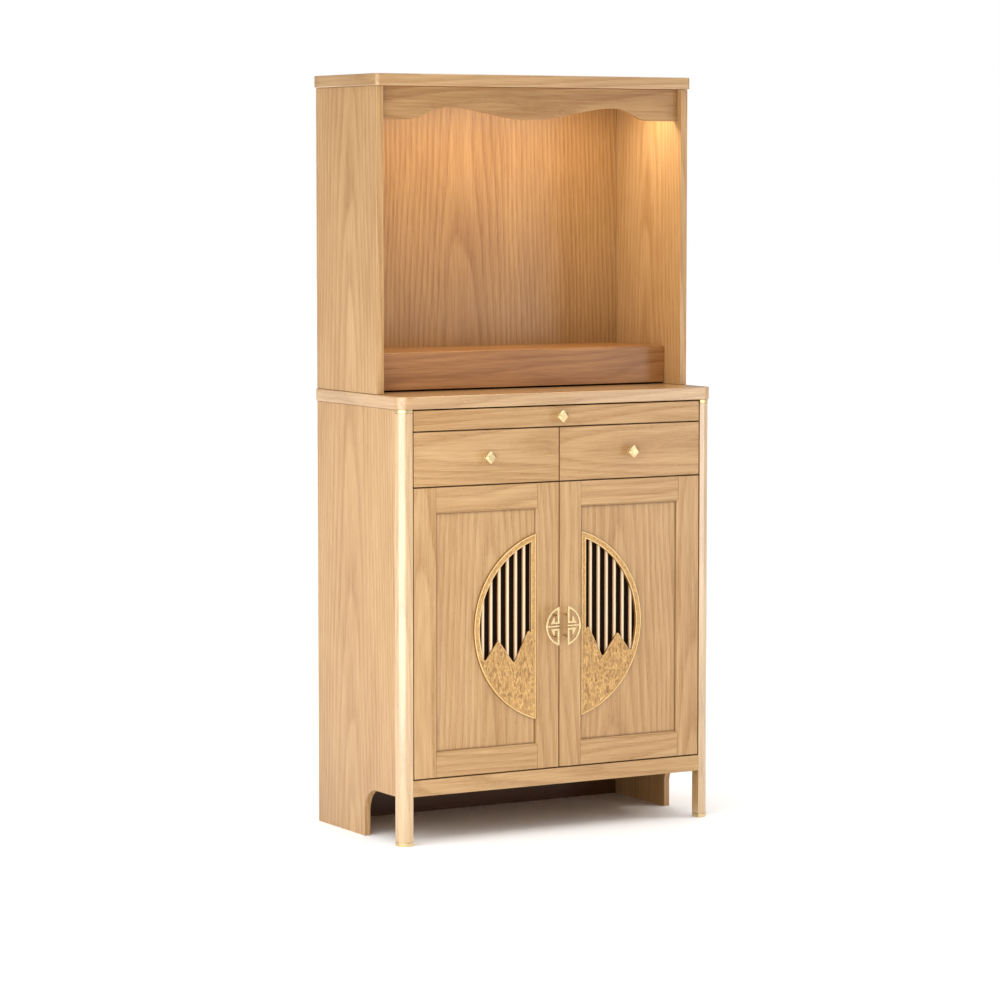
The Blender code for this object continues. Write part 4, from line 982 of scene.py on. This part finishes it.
def door(side, sign, brass, slat, black):
    """One door's frame, half-moon and handle."""
    frame_member("outer_stile", sign, stile_outline, -1, Z)
    frame_member("inner_stile", sign, stile_outline, 1, Z)
    frame_member("top_rail", sign, rail_outline, -1, X)
    frame_member("bottom_rail", sign, rail_outline, 1, X)
    moon_carving(f"door_{side}_moon_carving", sign)
    moon_lattice(f"door_{side}_moon_lattice", sign, slat)
    moon_backing(f"door_{side}_moon_backing", sign, black)
    handle(f"door_{side}_handle", sign, brass)


# Studio

def area_light(name, place, target, size, watts, colour):
    """A rectangular light that points at its target and that the camera doesn't see."""
    lamp = bpy.data.objects.new(name, bpy.data.lights.new(name, "AREA"))
    bpy.context.scene.collection.objects.link(lamp)
    lamp.location = place
    lamp.rotation_euler = (Vector(target) - Vector(place)).to_track_quat("-Z", "Y").to_euler()
    lamp.data.shape = "RECTANGLE"
    lamp.data.size, lamp.data.size_y = size
    lamp.data.energy = watts
    lamp.data.color = colour
    lamp.visible_camera = False


def studio():
    """A white room: the camera, a sky that lights more from above and that the camera sees as plain
    white, a wide window light at the left front, an upright light and a high warm one from the right
    front, a warm lamp under the cap, and a pale floor of matt paper."""
    scene = bpy.context.scene
    scene.view_settings.view_transform = "Standard"
    camera = bpy.data.objects.new("camera", bpy.data.cameras.new("camera"))
    scene.collection.objects.link(camera)
    camera.location = CAMERA_PLACE
    camera.rotation_euler = (math.pi / 2 - CAMERA_DROP, 0.0, -CAMERA_YAW)
    camera.data.sensor_width = SENSOR
    camera.data.lens = FOCAL_PIXELS / IMAGE_PIXELS * SENSOR
    scene.camera = camera

    world = bpy.data.worlds.new("white_room")
    world.use_nodes = True
    tree = world.node_tree
    tree.nodes.clear()
    way = add(tree, "ShaderNodeTexCoord").outputs["Generated"]
    height = add(tree, "ShaderNodeSeparateXYZ", {0: way}).outputs["Z"]
    room = add(tree, "ShaderNodeMapRange",
               {0: height, 1: WALLS_END, 2: CEILING_START, 3: ROOM_LOW, 4: ROOM_HIGH}).outputs[0]
    straight = add(tree, "ShaderNodeLightPath").outputs["Is Camera Ray"]
    strength = add(tree, "ShaderNodeMix", {0: straight, 2: room, 3: 1.0}).outputs[0]
    sky = add(tree, "ShaderNodeBackground", {"Color": (1.0, 1.0, 1.0, 1.0), "Strength": strength})
    add(tree, "ShaderNodeOutputWorld", {"Surface": sky.outputs[0]})
    scene.world = world

    cap_under = corners("cap_board")[0][Z]
    area_light("window", place=(-1.52, -0.82, 0.935), target=(0.0, 0.05, 0.935), size=(2.2, 1.85),
               watts=29.0, colour=(1.0, 0.99, 0.97))
    area_light("sheen", place=(2.3, -2.8, 0.9), target=(0.3, -0.2, 0.9), size=(1.0, 1.6),
               watts=10.0, colour=(1.0, 0.97, 0.93))
    area_light("key", place=(5.0, -2.8, 4.2), target=(0.0, -0.1, 0.8), size=(0.8, 0.8),
               watts=80.0, colour=(1.0, 0.86, 0.70))
    area_light("shrine", place=(0.0, 0.0, cap_under - 0.02), target=(0.0, 0.02, 1.0), size=(0.70, 0.06),
               watts=3.2, colour=(1.0, 0.89, 0.70))

    mesh = bpy.data.meshes.new("floor")
    sheet = np.insert(rectangle((-FLOOR_REACH, -FLOOR_REACH), (FLOOR_REACH, FLOOR_REACH)), Z, 0.0, axis=1)
    mesh.from_pydata(sheet.tolist(), [], [(0, 1, 2, 3)])
    floor = bpy.data.objects.new("floor", mesh)
    scene.collection.objects.link(floor)
    mesh.materials.append(new_material("white_paper", Base_Color=hex_colour(FLOOR_WHITE), Roughness=0.8)[0])


def main():
    """Dresses the whole cabinet."""
    brass = cast_brass("polished_brass", *POLISHED_BRASS)
    slat, black = slat_with_painted_shading(), black_backing()
    plain_boards()
    kept_solids(cast_brass("browned_brass", *BROWNED_BRASS))
    lying_top("cap_board", CAP_CORNER)
    lying_top("altar_top", ALTAR_CORNER)
    posts(brass)
    side_panels()
    valance()
    knob("tray_knob", brass)
    for side, sign in SIDES.items():
        drawer_box(f"drawer_{side}_box")
        knob(f"drawer_{side}_knob", brass)
        door(side, sign, brass, slat, black)
    studio()


moon_x = corners("door_right_moon_carving")[0][X]
moon_z = corners("door_right_inner_stile")[0][Z] + MOON_HEIGHT
main()
